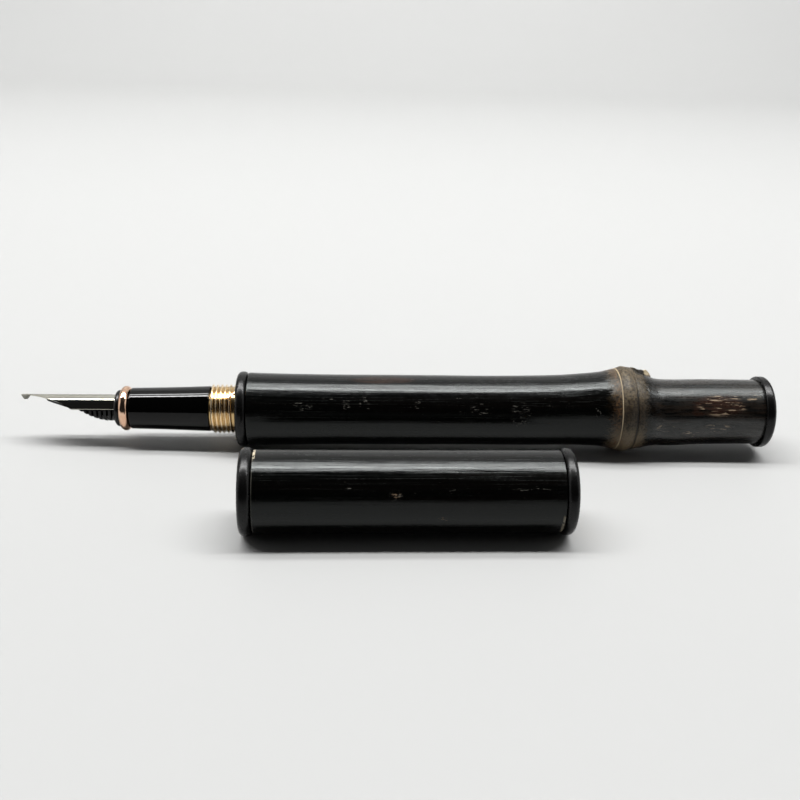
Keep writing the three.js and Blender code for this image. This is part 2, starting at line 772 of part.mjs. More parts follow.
// The cap, about its own axis
const cap = new THREE.Group();
cap.add(
  named('cap_culm', capCulm(), bamboo),
  named('cap_end_disc', capEndDisc(), lacquer),
  named('cap_mouth_ring', capMouthRing(), lacquer),
  named('cap_thread_insert', capThreadInsert(), gold),
  named('cap_liner', capLiner(), liner),
);
cap.position.set(capAlongPen, -capInFront, ringDiameter / 2);
cap.rotation.z = THREE.MathUtils.degToRad(capYaw);

// The node is thicker than the front ring, so the pen lies with its rear end slightly raised.
const nodeBelowAxis = nodeDiameter / 2 - nodeLean * Math.cos(pen.rotation.x);
const penOnTable = new THREE.Group();
penOnTable.add(pen);
penOnTable.rotation.y = -Math.asin((nodeBelowAxis - ringDiameter / 2) / nodeAt);
penOnTable.position.z = ringDiameter / 2;

// The origin is on the table, under the middle of the model.
const model = new THREE.Group();
model.add(penOnTable, cap);
model.updateMatrixWorld(true);
const extent = new THREE.Box3().setFromObject(model, true);
const middle = extent.getCenter(new THREE.Vector3());
model.position.set(-middle.x, -middle.y, -extent.min.z);

export default model;
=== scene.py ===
"""Fountain pen with a bamboo barrel, its cap lying in front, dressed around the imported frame."""
import json
import math

import bmesh
import bpy
from mathutils import Matrix, Vector, noise


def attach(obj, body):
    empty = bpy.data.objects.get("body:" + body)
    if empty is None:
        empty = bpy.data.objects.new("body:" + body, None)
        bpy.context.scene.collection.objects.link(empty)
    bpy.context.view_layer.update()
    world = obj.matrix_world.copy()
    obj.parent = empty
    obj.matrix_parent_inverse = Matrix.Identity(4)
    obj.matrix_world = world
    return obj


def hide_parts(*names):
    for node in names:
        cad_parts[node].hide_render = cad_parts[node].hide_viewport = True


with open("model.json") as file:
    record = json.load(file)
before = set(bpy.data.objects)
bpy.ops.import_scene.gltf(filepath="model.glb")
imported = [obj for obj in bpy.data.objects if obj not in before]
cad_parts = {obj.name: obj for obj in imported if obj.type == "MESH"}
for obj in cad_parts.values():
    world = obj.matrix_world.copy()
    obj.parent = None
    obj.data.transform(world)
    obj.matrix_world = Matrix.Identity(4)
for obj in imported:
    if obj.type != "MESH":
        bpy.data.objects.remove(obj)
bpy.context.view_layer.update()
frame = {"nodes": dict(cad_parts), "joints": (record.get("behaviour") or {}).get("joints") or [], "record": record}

MM = 0.001
JOINTS = {joint["name"]: joint for joint in frame["joints"]}
MOUNTS = {mount["name"]: mount for mount in frame["record"]["mounts"]}

# How far the pen is rolled back about its axis, so that the nib shows its side
ROLL_BACK = math.radians(23)

# The camera, from the middle of the barrel's front ring on the table, in millimetres
CAMERA_FROM_RING = (24.5, -190.6, 89.2)
CAMERA_PITCH = math.radians(22.51)
CAMERA_YAW = math.radians(-2.31)
CAMERA_ROLL = math.radians(1.70)
CAMERA_NEAREST = 0.01
FOCAL_PIXELS = 1000
PHOTO_PIXELS = 800
SENSOR = 36


def own_axes(along, start, roll=0.0):
    """The matrix from a piece's own millimetres, X along its axis and Z up, to the row's metres."""
    x = Vector(along).normalized()
    y = Vector((0, 0, 1)).cross(x).normalized()
    z = x.cross(y)
    turn = Matrix((x, y, z)).transposed().to_4x4() @ Matrix.Rotation(-roll, 4, "X")
    return Matrix.Translation(start) @ turn @ Matrix.Scale(MM, 4)


PEN = own_axes(
    [-part for part in JOINTS["section_unscrew"]["axis"]],
    JOINTS["section_unscrew"]["pos_m"],
    ROLL_BACK,
)
CAP = own_axes([-part for part in MOUNTS["cap_end_face"]["axis"]], MOUNTS["cap_end_face"]["pos_m"])


def span(node, axes):
    """A node's first and last place along its own axis, and its largest radius, in millimetres."""
    back = axes.inverted()
    points = [back @ vertex.co for vertex in frame["nodes"][node].data.vertices]
    along = [point.x for point in points]
    return min(along), max(along), max(math.hypot(point.y, point.z) for point in points)


# Camera

def make_camera():
    forward = Vector((
        -math.sin(CAMERA_YAW) * math.cos(CAMERA_PITCH),
        math.cos(CAMERA_YAW) * math.cos(CAMERA_PITCH),
        -math.sin(CAMERA_PITCH),
    ))
    level = Vector((math.cos(CAMERA_YAW), math.sin(CAMERA_YAW), 0))
    upright = level.cross(forward)
    right = level * math.cos(CAMERA_ROLL) + upright * math.sin(CAMERA_ROLL)
    up = upright * math.cos(CAMERA_ROLL) - level * math.sin(CAMERA_ROLL)
    ring = PEN.translation
    place = Vector((ring.x, ring.y, 0)) + Vector(CAMERA_FROM_RING) * MM
    data = bpy.data.cameras.new("photo_camera")
    data.sensor_width = SENSOR
    data.lens = SENSOR * FOCAL_PIXELS / PHOTO_PIXELS
    data.clip_start = CAMERA_NEAREST
    camera = bpy.data.objects.new("photo_camera", data)
    turn = Matrix((right, up, -forward)).transposed().to_4x4()
    camera.matrix_world = Matrix.Translation(place) @ turn
    bpy.context.scene.collection.objects.link(camera)
    bpy.context.scene.camera = camera


make_camera()


# Materials

# The colour sockets of a Mix node
MIX_FIRST, MIX_SECOND, MIX_RESULT = 6, 7, 2


def opaque(colour):
    """A plain (red, green, blue) with its alpha; a node's output stays as it is."""
    return (*colour, 1) if isinstance(colour, tuple) else colour


class Graph:
    """Short calls that add nodes to a tree and join them."""

    def __init__(self, tree):
        self.tree = tree

    def add(self, kind, inputs=None, **settings):
        node = self.tree.nodes.new(kind)
        for name, value in settings.items():
            setattr(node, name, value)
        for name, value in (inputs or {}).items():
            self.feed(node.inputs[name], value)
        return node

    def feed(self, socket, value):
        if isinstance(value, bpy.types.NodeSocket):
            self.tree.links.new(value, socket)
        else:
            socket.default_value = value

    def math(self, operation, first, second=0.0, clamp=False):
        inputs = {0: first, 1: second}
        node = self.add("ShaderNodeMath", inputs, operation=operation, use_clamp=clamp)
        return node.outputs[0]

    def plus(self, first, second):
        return self.math("ADD", first, second)

    def minus(self, first, second):
        return self.math("SUBTRACT", first, second)

    def times(self, first, second, clamp=False):
        return self.math("MULTIPLY", first, second, clamp)

    def step(self, value, low, high):
        """0 below low, 1 above high, smooth between; low above high turns it round."""
        inputs = {"Value": value, "From Min": low, "From Max": high}
        return self.add("ShaderNodeMapRange", inputs, interpolation_type="SMOOTHSTEP").outputs[0]

    def bell(self, value, centre, width):
        """1 at centre, falling smoothly to 0 at width on both sides."""
        return self.step(self.math("ABSOLUTE", self.minus(value, centre)), width, 0.0)

    def blend(self, factor, first, second):
        node = self.add("ShaderNodeMix", {"Factor": factor}, data_type="RGBA")
        self.feed(node.inputs[MIX_FIRST], opaque(first))
        self.feed(node.inputs[MIX_SECOND], opaque(second))
        return node.outputs[MIX_RESULT]

    def layered(self, colour, *layers):
        """The colour under (mask, share, colour) layers; each covers by share where mask is 1."""
        for mask, share, over in layers:
            colour = self.blend(self.times(mask, share), colour, over)
        return colour

    def scaled(self, vector, scale):
        node = self.add("ShaderNodeVectorMath", {0: vector, 1: scale}, operation="MULTIPLY")
        return node.outputs[0]

    def noise(self, vector, scale, detail=3.0, roughness=0.55, distortion=0.0):
        inputs = {
            "Vector": vector, "Scale": scale, "Detail": detail,
            "Roughness": roughness, "Distortion": distortion,
        }
        return self.add("ShaderNodeTexNoise", inputs).outputs["Fac"]

    def drawn_out(self, vector, pace, scale=1.0, detail=3.0, roughness=0.55, distortion=0.0):
        """Noise with its own pace along each axis: slow along the fibres, quick across them."""
        return self.noise(self.scaled(vector, pace), scale, detail, roughness, distortion)

    def parts(self, vector):
        """Along the axis, across to the back, and up."""
        node = self.add("ShaderNodeSeparateXYZ", {0: vector})
        return node.outputs[0], node.outputs[1], node.outputs[2]


def new_group(name, outputs, **numbers):
    """An empty shader group that reads a Vector and numbers, and puts out numbers."""
    tree = bpy.data.node_groups.new(name, "ShaderNodeTree")
    new_socket = tree.interface.new_socket
    new_socket(name="Vector", in_out="INPUT", socket_type="NodeSocketVector")
    for label, value in numbers.items():
        socket = new_socket(name=label, in_out="INPUT", socket_type="NodeSocketFloat")
        socket.default_value = value
    for label in outputs:
        new_socket(name=label, in_out="OUTPUT", socket_type="NodeSocketFloat")
    graph = Graph(tree)
    return graph, graph.add("NodeGroupInput").outputs, graph.add("NodeGroupOutput").inputs


FINE_FIBRE_PACE = (0.035, 3.4, 3.4)
COARSE_FIBRE_PACE = (0.02, 0.8, 0.8)
COARSE_FIBRE_HEIGHT = 0.6


def fibre_group():
    """Bamboo's lengthwise fibres: long fine streaks, and a coarser grouping of them."""
    graph, inp, out = new_group("bamboo_fibres", ("Fine", "Coarse", "Height"), Density=1.0)
    fine = graph.drawn_out(inp["Vector"], FINE_FIBRE_PACE, inp["Density"], 4.0, 0.62)
    coarse = graph.drawn_out(inp["Vector"], COARSE_FIBRE_PACE, inp["Density"], 3.0, 0.5)
    graph.feed(out["Fine"], graph.step(fine, 0.42, 0.72))
    graph.feed(out["Coarse"], graph.step(coarse, 0.35, 0.7))
    graph.feed(out["Height"], graph.plus(fine, graph.times(coarse, COARSE_FIBRE_HEIGHT)))
    return graph.tree


SCRATCH_PACE = (0.25, 1.7, 1.7)
SCRATCH_BREAK_PACE = (0.5, 1.1, 1.1)
SCRATCH_EDGE, SCRATCH_CORE = 0.032, 0.012
CHIP_PACE = (0.6, 2.4, 2.4)
CHIP_SHARPNESS = 24.0


def scratch_group():
    """Short wandering scratches drawn out lengthwise, and small pale chips."""
    outputs = ("Scratches", "Chips")
    graph, inp, out = new_group("scratches_and_chips", outputs, Size=1.0, Rarity=0.76)
    lines = graph.drawn_out(inp["Vector"], SCRATCH_PACE, inp["Size"], 2.0, 0.55, 0.5)
    off_line = graph.math("ABSOLUTE", graph.minus(lines, 0.5))
    broken = graph.drawn_out(inp["Vector"], SCRATCH_BREAK_PACE, inp["Size"], 2.0, 0.6)
    line = graph.step(off_line, SCRATCH_EDGE, SCRATCH_CORE)
    graph.feed(out["Scratches"], graph.times(line, graph.step(broken, 0.5, 0.58)))
    spots = graph.drawn_out(inp["Vector"], CHIP_PACE, inp["Size"], 2.0, 0.6, 0.4)
    chips = graph.times(graph.minus(spots, inp["Rarity"]), CHIP_SHARPNESS, clamp=True)
    graph.feed(out["Chips"], chips)
    return graph.tree


PATCH_EDGE, PATCH_CORE = 1.0, 0.35
PATCH_SIDE = 0.5


def patch_group():
    """A soft-edged oval on the piece's front side, placed along the piece and up its side."""
    graph, inp, out = new_group("worn_patch", ("Mask",), Along=0.0, Up=0.0, Length=1.0, Height=1.0)
    along, across, up = graph.parts(inp["Vector"])

    def squared(value, centre, reach):
        off = graph.math("DIVIDE", graph.minus(value, centre), reach)
        return graph.math("POWER", graph.math("ABSOLUTE", off), 2.0)

    squares = graph.plus(
        squared(along, inp["Along"], inp["Length"]), squared(up, inp["Up"], inp["Height"]),
    )
    oval = graph.step(squares, PATCH_EDGE, PATCH_CORE)
    graph.feed(out["Mask"], graph.times(oval, graph.step(across, PATCH_SIDE, -PATCH_SIDE)))
    return graph.tree


SMEAR_SCALE = 0.35
DUST_SCALE = 3.2
DUST_RARITY = 0.74
DUST_SHARPNESS = 18.0


def handling_group():
    """Uneven sheen from fingers and polishing, and a little dust that lies on top."""
    numbers = {"Sheen": 0.3, "Unevenness": 0.05, "Dust": 0.2}
    graph, inp, out = new_group("handling_and_dust", ("Roughness", "Dust Mask"), **numbers)
    smear = graph.noise(inp["Vector"], SMEAR_SCALE, 4.0, 0.6, 0.6)
    swing = graph.times(graph.minus(smear, 0.5), inp["Unevenness"])
    grains = graph.noise(inp["Vector"], DUST_SCALE, 2.0, 0.8)
    dusty = graph.times(graph.minus(grains, DUST_RARITY), DUST_SHARPNESS, clamp=True)
    graph.feed(out["Roughness"], graph.plus(inp["Sheen"], graph.times(swing, 2.0)))
    graph.feed(out["Dust Mask"], graph.times(dusty, inp["Dust"]))
    return graph.tree


FIBRES = fibre_group()
SCRATCHES = scratch_group()
PATCH = patch_group()
HANDLING = handling_group()


def new_material(name, axes):
    """A material with its shader, and the piece's own millimetres as its coordinates."""
    material = bpy.data.materials.new(name)
    material.use_nodes = True
    graph = Graph(material.node_tree)
    shader = material.node_tree.nodes["Principled BSDF"]
    back = axes.inverted()
    mapping = graph.add("ShaderNodeMapping", {
        "Vector": graph.add("ShaderNodeTexCoord").outputs["Object"],
        "Location": back.translation,
        "Rotation": back.to_quaternion().to_euler("XYZ"),
        "Scale": (1 / MM, 1 / MM, 1 / MM),
    })
    return material, graph, shader, mapping.outputs[0]


def use_group(graph, tree, **inputs):
    node = graph.add("ShaderNodeGroup", node_tree=tree)
    for name, value in inputs.items():
        graph.feed(node.inputs[name], value)
    return node.outputs


def cover(graph, shader, colour, rough, relief, strength, depth_mm):
    """Gives the shader its colour, roughness and relief."""
    inputs = {"Height": relief, "Strength": strength, "Distance": depth_mm * MM}
    normal = graph.add("ShaderNodeBump", inputs).outputs[0]
    for name, value in (("Base Color", colour), ("Roughness", rough), ("Normal", normal)):
        graph.feed(shader.inputs[name], value)


def patches(graph, spot, places):
    """The strongest of several patches: along, up, half length and half height in millimetres."""
    mask = 0.0
    for along, up, length, height in places:
        patch = use_group(
            graph, PATCH, Vector=spot, Along=along, Up=up, Length=length, Height=height,
        )
        mask = graph.math("MAXIMUM", mask, patch["Mask"])
    return mask


LACQUER_IOR = 1.33
LACQUER_COOL = (0.6, 0.62, 0.66)
LACQUER_WARM = (1.6, 1.5, 1.4)
LACQUER_DUST = (0.1, 0.095, 0.085)
LACQUER_CHIP = (0.1, 0.09, 0.075)


def lacquer(name, axes, tone=0.001, sheen=0.27, unevenness=0.06, wear=0.2):
    """Black lacquer: a clouded black with an uneven sheen, dust and a few pale chips."""
    material, graph, shader, spot = new_material(name, axes)
    handled = use_group(
        graph, HANDLING, Vector=spot, Sheen=sheen, Unevenness=unevenness, Dust=wear,
    )
    chips = use_group(graph, SCRATCHES, Vector=spot, Size=1.3, Rarity=0.84 - 0.2 * wear)
    cool = tuple(tone * part for part in LACQUER_COOL)
    warm = tuple(tone * part for part in LACQUER_WARM)
    black = graph.blend(graph.noise(spot, 0.6, 4.0), cool, warm)
    dusty = graph.blend(handled["Dust Mask"], black, LACQUER_DUST)
    colour = graph.blend(chips["Chips"], dusty, LACQUER_CHIP)
    cover(graph, shader, colour, handled["Roughness"], graph.noise(spot, 1.8, 3.0), 0.25, 0.02)
    shader.inputs["IOR"].default_value = LACQUER_IOR
    return material


METAL_DUST = (0.5, 0.47, 0.42)


def metal(
    name, axes, colour, dark,
    sheen=0.16, grain=(1.0, 6.0, 6.0), depth=0.006, groove=None, metallic=1.0,
):
    """Plated or polished metal: colour clouds, fine grain along one direction and uneven polish.

    groove is (bottom, flank, colour): dirt that covers what lies nearer to the axis than flank.
    """
    material, graph, shader, spot = new_material(name, axes)
    handled = use_group(
        graph, HANDLING, Vector=spot, Sheen=sheen, Unevenness=0.4 * sheen, Dust=0.1,
    )
    cloud = graph.noise(spot, 0.9, 4.0, 0.6)
    plate = graph.blend(graph.step(cloud, 0.3, 0.75), dark, colour)
    if groove is not None:
        bottom, flank, dirt = groove
        across = graph.scaled(spot, (0, 1, 1))
        from_axis = graph.add("ShaderNodeVectorMath", {0: across}, operation="LENGTH")
        plate = graph.blend(graph.step(from_axis.outputs["Value"], flank, bottom), plate, dirt)
    plate = graph.blend(handled["Dust Mask"], plate, METAL_DUST)
    relief = graph.drawn_out(spot, grain, 2.0)
    cover(graph, shader, plate, handled["Roughness"], relief, 0.35, depth)
    shader.inputs["Metallic"].default_value = metallic
    return material


PLASTIC_DUST = (0.2, 0.19, 0.18)


def plastic(name, axes, colour, sheen=0.4, ior=1.5):
    """Moulded or turned plastic and ebonite: faint mottling and a fine satin surface."""
    material, graph, shader, spot = new_material(name, axes)
    handled = use_group(graph, HANDLING, Vector=spot, Sheen=sheen, Unevenness=0.08, Dust=0.15)
    lighter = tuple(part * 2.0 + 0.0005 for part in colour)
    body = graph.blend(graph.noise(spot, 1.4, 3.0), colour, lighter)
    body = graph.blend(handled["Dust Mask"], body, PLASTIC_DUST)
    cover(graph, shader, body, handled["Roughness"], graph.noise(spot, 5.0, 3.0), 0.3, 0.01)
    shader.inputs["IOR"].default_value = ior
    return material


def clear_plastic(name, axes):
    """The converter's tube: clear, with a faint uneven haze."""
    material, graph, shader, spot = new_material(name, axes)
    haze = use_group(graph, HANDLING, Vector=spot, Sheen=0.08, Unevenness=0.05, Dust=0.1)
    clear = graph.blend(graph.noise(spot, 0.5, 2.0), (0.9, 0.93, 0.95), (0.97, 0.98, 0.98))
    graph.feed(shader.inputs["Base Color"], clear)
    graph.feed(shader.inputs["Roughness"], haze["Roughness"])
    shader.inputs["Transmission Weight"].default_value = 0.9
    shader.inputs["IOR"].default_value = 1.46
    return material


# Worn places, and the painted shade in the bud's hollow, as along, up, half length and half height in millimetres
BARREL_SCRATCHED = (
    (12.3, 0.5, 2.6, 1.0), (17.7, 2.1, 1.7, 0.5), (21.3, 1.0, 1.0, 1.3), (25.0, 1.2, 1.3, 1.7),
    (35.6, 1.0, 0.8, 0.9), (43.7, 2.3, 0.8, 0.5), (48.3, 0.2, 2.4, 1.4), (56.3, -1.0, 2.4, 3.2),
    (62.6, 1.2, 0.9, 0.7), (71.9, -0.2, 0.7, 1.3),
)
CAP_SCRATCHED = (
    (18.6, 3.9, 0.6, 0.5), (26.6, 2.6, 1.3, 1.1), (36.3, 3.5, 0.9, 0.3), (49.5, 3.6, 3.6, 0.25),
)
CAP_CHIPPED = ((26.7, 2.8, 0.9, 0.6), (34.6, -1.7, 1.0, 0.6))
REAR_WORN = ((96.8, 1.2, 6.0, 2.7), (92.6, -0.2, 1.6, 1.0))
REAR_BARE = (
    (97.5, 1.2, 5.6, 2.5), (101.8, 2.9, 4.6, 0.8), (96.6, -3.4, 3.2, 1.0), (86.0, -3.4, 2.2, 0.9),
    (91.5, -4.6, 2.2, 0.7),
)
TOP_RED = ((28.6, 6.0, 7.5, 0.9),)
# Painted shade in the small hollow in front of the bud
BUD_HOLLOW_SHADE = ((81.4, 8.1, 1.5, 0.9),)

# The black skin
BAMBOO_IOR = 1.335
BAMBOO_TINT = (0.95, 1.0, 0.98, 1)
COAT_ROUGHNESS = 0.15
CLOUD_PACE = (0.05, 0.25, 0.25)
SKIN_GRAIN_PACE = (1.1, 2.6, 2.6)
STAIN_DEEP = (0.0001, 0.0002, 0.0002)
STAIN_THIN = (0.0006, 0.0007, 0.0006)
FIBRE_GREY = (0.0014, 0.0017, 0.0015)
FIBRE_WARM = (0.0018, 0.0009, 0.0006)
SCRATCH_GREY = (0.1, 0.096, 0.084)
CHIP_GREY = (0.06, 0.057, 0.05)
SKIN_DUST = (0.08, 0.078, 0.07)


def bamboo(name, axes, scratched, node_at=None, ends=None, sheen=0.13):
    """Black-stained bamboo skin; node_at adds the node and worn joint, ends the glued seams."""
    material, graph, shader, spot = new_material(name, axes)
    fibres = use_group(graph, FIBRES, Vector=spot, Density=1.0)
    marks = use_group(graph, SCRATCHES, Vector=spot, Size=1.7, Rarity=0.73)
    handled = use_group(graph, HANDLING, Vector=spot, Sheen=sheen, Unevenness=0.07, Dust=0.35)
    cloud = graph.drawn_out(spot, CLOUD_PACE, detail=4.0, roughness=0.6)
    colour = graph.layered(
        graph.blend(cloud, STAIN_DEEP, STAIN_THIN),
        (fibres["Fine"], 0.5, FIBRE_GREY), (fibres["Coarse"], 0.35, FIBRE_WARM),
    )
    streaks = graph.plus(graph.times(fibres["Fine"], 0.16), graph.times(fibres["Coarse"], 0.04))
    grain = graph.minus(graph.drawn_out(spot, SKIN_GRAIN_PACE, detail=2.0, roughness=0.7), 0.45)
    uneven = graph.plus(streaks, graph.times(grain, 0.22))
    rough = graph.plus(handled["Roughness"], uneven)
    height = fibres["Height"]
    if node_at is not None:
        colour, rough, sheen_behind, pits = node_finish(graph, spot, node_at, colour, rough)
        height = graph.plus(height, pits)
        graph.feed(shader.inputs["Coat Weight"], sheen_behind)
        shader.inputs["Coat Roughness"].default_value = COAT_ROUGHNESS
    if ends is not None:
        colour = cap_colours(graph, spot, ends, colour)
    scratches = graph.times(marks["Scratches"], patches(graph, spot, scratched))
    colour = graph.layered(
        colour, (scratches, 0.85, SCRATCH_GREY), (marks["Chips"], 0.5, CHIP_GREY),
    )
    colour = graph.blend(handled["Dust Mask"], colour, SKIN_DUST)
    cover(graph, shader, colour, rough, height, 0.7, 0.032)
    shader.inputs["IOR"].default_value = BAMBOO_IOR
    shader.inputs["Specular Tint"].default_value = BAMBOO_TINT
    return material


# The node's finish. Places are in millimetres behind the node's ridge, less than 0 in front of it.
RAGGED_PACE = (0.5, 0.9, 0.9)
RAGGED_REACH = 3.4
JOINT_PACE = (0.14, 1.3, 1.3)
JOINT_FROM, JOINT_FULL = 3.0, 6.5
JOINT_DARK = (0.0008, 0.0007, 0.0006)
JOINT_BROWN = (0.012, 0.008, 0.0055)
BROWN_FROM, BROWN_FULL, BROWN_FADES, BROWN_ENDS = -4.8, -1.7, 2.2, 4.7
NODE_UMBER = (0.008, 0.0045, 0.0018)
NODE_TAN = (0.092, 0.067, 0.038)
# Painted shade round the node's middle
NODE_PAINTED_SHADE = (0.007, 0.0032, 0.001)
# Painted light on the node's underside, where the floor's bounce falls
NODE_PAINTED_LIGHT_UNDER = (0.13, 0.098, 0.06)
PORE_PACE = (1.3, 2.2, 2.2)
PORES_AT, PORES_REACH = -3.4, 2.6
PORE_BLACK = (0.0015, 0.0008, 0.0004)
RUST_AT, RUST_REACH = -2.3, 1.4
RUST_BROWN = (0.075, 0.03, 0.008)
GROOVE_AT, GROOVE_REACH = 1.6, 0.42
# Painted shade in the groove behind the ridge
GROOVE_PAINTED_SHADE = (0.002, 0.001, 0.0008)
# Painted shade in the hollows of the node and the bud
HOLLOW_PAINTED_SHADE = (0.006, 0.004, 0.0015)
SCAR_AT, SCAR_REACH = -1.5, 0.15
SCAR_CREAM = (0.4, 0.32, 0.21)
STREAK_PACE = (0.28, 1.5, 1.5)
WORN_BROWN = (0.017, 0.0068, 0.004)
BARE_PACE = (0.36, 2.6, 2.6)
BARE_BAMBOO = (0.25, 0.19, 0.13)
RED_BROWN = (0.016, 0.007, 0.004)
NODE_ROUGHER, JOINT_ROUGHER = 0.24, 0.1
# The joint's polish; it lies only in bands where it mirrors the roof and the floor, so it is partly painted
# reflection
JOINT_POLISH = 0.62
PIT_HEIGHT = 4.5


def node_finish(graph, spot, node_at, colour, rough):
    """The brown node with painted shade and light, its scar line and groove, and the greyer, worn joint behind it.

    Gives the colour, the roughness, the weight of the polish (partly painted reflection) and the height of the
    node's pits.
    """
    along, _, up = graph.parts(spot)
    ragged = graph.drawn_out(spot, RAGGED_PACE, detail=4.0, roughness=0.65)
    place = graph.plus(along, graph.times(graph.minus(ragged, 0.5), RAGGED_REACH))
    behind = graph.step(place, node_at + JOINT_FROM, node_at + JOINT_FULL)
    joint_cloud = graph.drawn_out(spot, JOINT_PACE, detail=4.0, roughness=0.65)
    grey = graph.blend(graph.step(joint_cloud, 0.38, 0.66), JOINT_DARK, JOINT_BROWN)
    band = graph.times(
        graph.step(place, node_at + BROWN_FROM, node_at + BROWN_FULL),
        graph.step(place, node_at + BROWN_ENDS, node_at + BROWN_FADES),
    )
    mottle = graph.noise(spot, 2.1, 5.0, 0.72)
    brown = graph.layered(
        graph.blend(graph.step(mottle, 0.37, 0.6), NODE_UMBER, NODE_TAN),
        # Painted shade round the node's middle
        (graph.bell(up, -0.4, 4.6), 0.78, NODE_PAINTED_SHADE),
        # Painted light from the floor on the node's underside
        (graph.step(up, -2.8, -5.6), 0.7, NODE_PAINTED_LIGHT_UNDER),
    )
    pores = graph.step(graph.drawn_out(spot, PORE_PACE, 1.3, 3.0, 0.65), 0.54, 0.64)
    pores = graph.times(graph.bell(along, node_at + PORES_AT, PORES_REACH), pores)
    rust = graph.bell(along, node_at + RUST_AT, RUST_REACH)
    rust = graph.times(rust, graph.step(mottle, 0.46, 0.6))
    # Painted shade in the groove, left off at its lit top
    groove = graph.bell(along, node_at + GROOVE_AT, GROOVE_REACH)
    groove = graph.times(groove, graph.step(up, 5.5, 3.5))
    # Painted shade in the small hollow in front of the bud
    hollow = graph.times(patches(graph, spot, BUD_HOLLOW_SHADE), graph.step(mottle, 0.3, 0.45))
    scar = graph.bell(along, node_at + SCAR_AT, SCAR_REACH)
    streaky = graph.drawn_out(spot, STREAK_PACE, 1.0, 4.0, 0.7, 0.5)
    worn = graph.times(patches(graph, spot, REAR_WORN), graph.step(streaky, 0.38, 0.52))
    rubbed_through = graph.drawn_out(spot, BARE_PACE, 1.0, 3.0, 0.65, 0.4)
    bare = graph.times(patches(graph, spot, REAR_BARE), graph.step(rubbed_through, 0.56, 0.62))
    red = graph.times(patches(graph, spot, TOP_RED), graph.step(streaky, 0.36, 0.5))
    colour = graph.layered(
        colour, (behind, 0.85, grey), (band, 0.94, brown), (pores, 0.9, PORE_BLACK),
        (rust, 0.6, RUST_BROWN), (groove, 0.9, GROOVE_PAINTED_SHADE), (hollow, 0.9, HOLLOW_PAINTED_SHADE),
        (scar, 0.9, SCAR_CREAM), (worn, 0.85, WORN_BROWN), (bare, 0.9, BARE_BAMBOO),
        (red, 0.8, RED_BROWN),
    )
    rough = graph.plus(rough, graph.times(band, NODE_ROUGHER))
    rough = graph.plus(rough, graph.times(behind, JOINT_ROUGHER))
    # Polish only in the top and bottom bands, where it mirrors the roof and the floor, not in the lamp's highlight
    # band: painted reflection on the worn polish
    mirror_bands = graph.math("MAXIMUM", graph.step(up, -0.6, -2.2), graph.step(up, 4.9, 5.9))
    polish = graph.times(graph.step(streaky, 0.2, 0.6), JOINT_POLISH)
    polished = graph.times(graph.times(behind, mirror_bands), polish)
    pits = graph.times(graph.times(mottle, band), PIT_HEIGHT)
    return colour, rough, polished, pits


CAP_CHIP_PACE = (1.1, 2.6, 2.6)
CAP_CHIP_TAN = (0.14, 0.1, 0.066)
SEAM_GREY = (0.1, 0.095, 0.08)
GLUE_CREAM = (0.5, 0.43, 0.31)
GLUE_EDGE, GLUE_FULL = 0.5, 0.3
SEAM_EDGE, SEAM_FULL = 0.2, 0.1


def cap_colours(graph, spot, ends, colour):
    """Two chips in the cap's black, and dried glue in its seams: top left and bottom right."""
    start, end = ends
    along, _, up = graph.parts(spot)
    left = graph.times(
        graph.step(along, start + GLUE_EDGE, start + GLUE_FULL), graph.step(up, 6.9, 7.3),
    )
    right = graph.times(
        graph.step(along, end - GLUE_EDGE, end - GLUE_FULL), graph.step(up, -0.6, -1.4),
    )
    seam = graph.step(along, start + SEAM_EDGE, start + SEAM_FULL)
    ragged = graph.step(graph.noise(spot, 1.6, 3.0), 0.38, 0.5)
    glue = graph.times(graph.math("MAXIMUM", left, graph.times(right, 0.3)), ragged)
    flaked = graph.step(graph.drawn_out(spot, CAP_CHIP_PACE, 1.0, 3.0, 0.6, 0.4), 0.5, 0.6)
    chipped = graph.times(patches(graph, spot, CAP_CHIPPED), flaked)
    return graph.layered(
        colour, (chipped, 0.85, CAP_CHIP_TAN), (seam, 0.3, SEAM_GREY), (glue, 0.9, GLUE_CREAM),
    )


HUSK_DARK = (0.01, 0.006, 0.003)
HUSK_BROWN = (0.062, 0.041, 0.021)
BREAK_CREAM = (0.42, 0.34, 0.22)
# How far before and below the bud's top the painted shade in its mouth reaches
BUD_DARK_BEFORE, BUD_DARK_BELOW = 0.9, 0.6


def bud_husk():
    """The broken bud: brown husk, painted shade in its hollow, a cream edge where it broke off."""
    material, graph, shader, spot = new_material("broken_bud_husk", PEN)
    handled = use_group(graph, HANDLING, Vector=spot, Sheen=0.5, Unevenness=0.1, Dust=0.2)
    along, _, up = graph.parts(spot)
    mottle = graph.noise(spot, 2.2, 4.0, 0.7)
    high = graph.step(graph.plus(up, mottle), BUD_REACH - 0.9, BUD_REACH - 0.4)
    edge = graph.times(graph.step(along, BUD_AT - 0.5, BUD_AT + 0.1), high)
    # Painted shade inside the husk's hollow mouth
    dark = ((BUD_AT - BUD_DARK_BEFORE, BUD_REACH - BUD_DARK_BELOW, 1.0, 0.75),)
    colour = graph.layered(
        graph.blend(graph.step(mottle, 0.3, 0.7), HUSK_DARK, HUSK_BROWN),
        (edge, 0.9, BREAK_CREAM), (patches(graph, spot, dark), 0.95, HOLLOW_PAINTED_SHADE),
    )
    cover(graph, shader, colour, handled["Roughness"], graph.noise(spot, 3.0, 4.0), 0.6, 0.08)
    return material


# Shapes, in millimetres

ARC_STEPS = 8
CREASE = 35
SAME_POINT = 1e-4
SAME_CORNER = 1e-3
CULM_STEPS = 192
TURNED_STEPS = 160


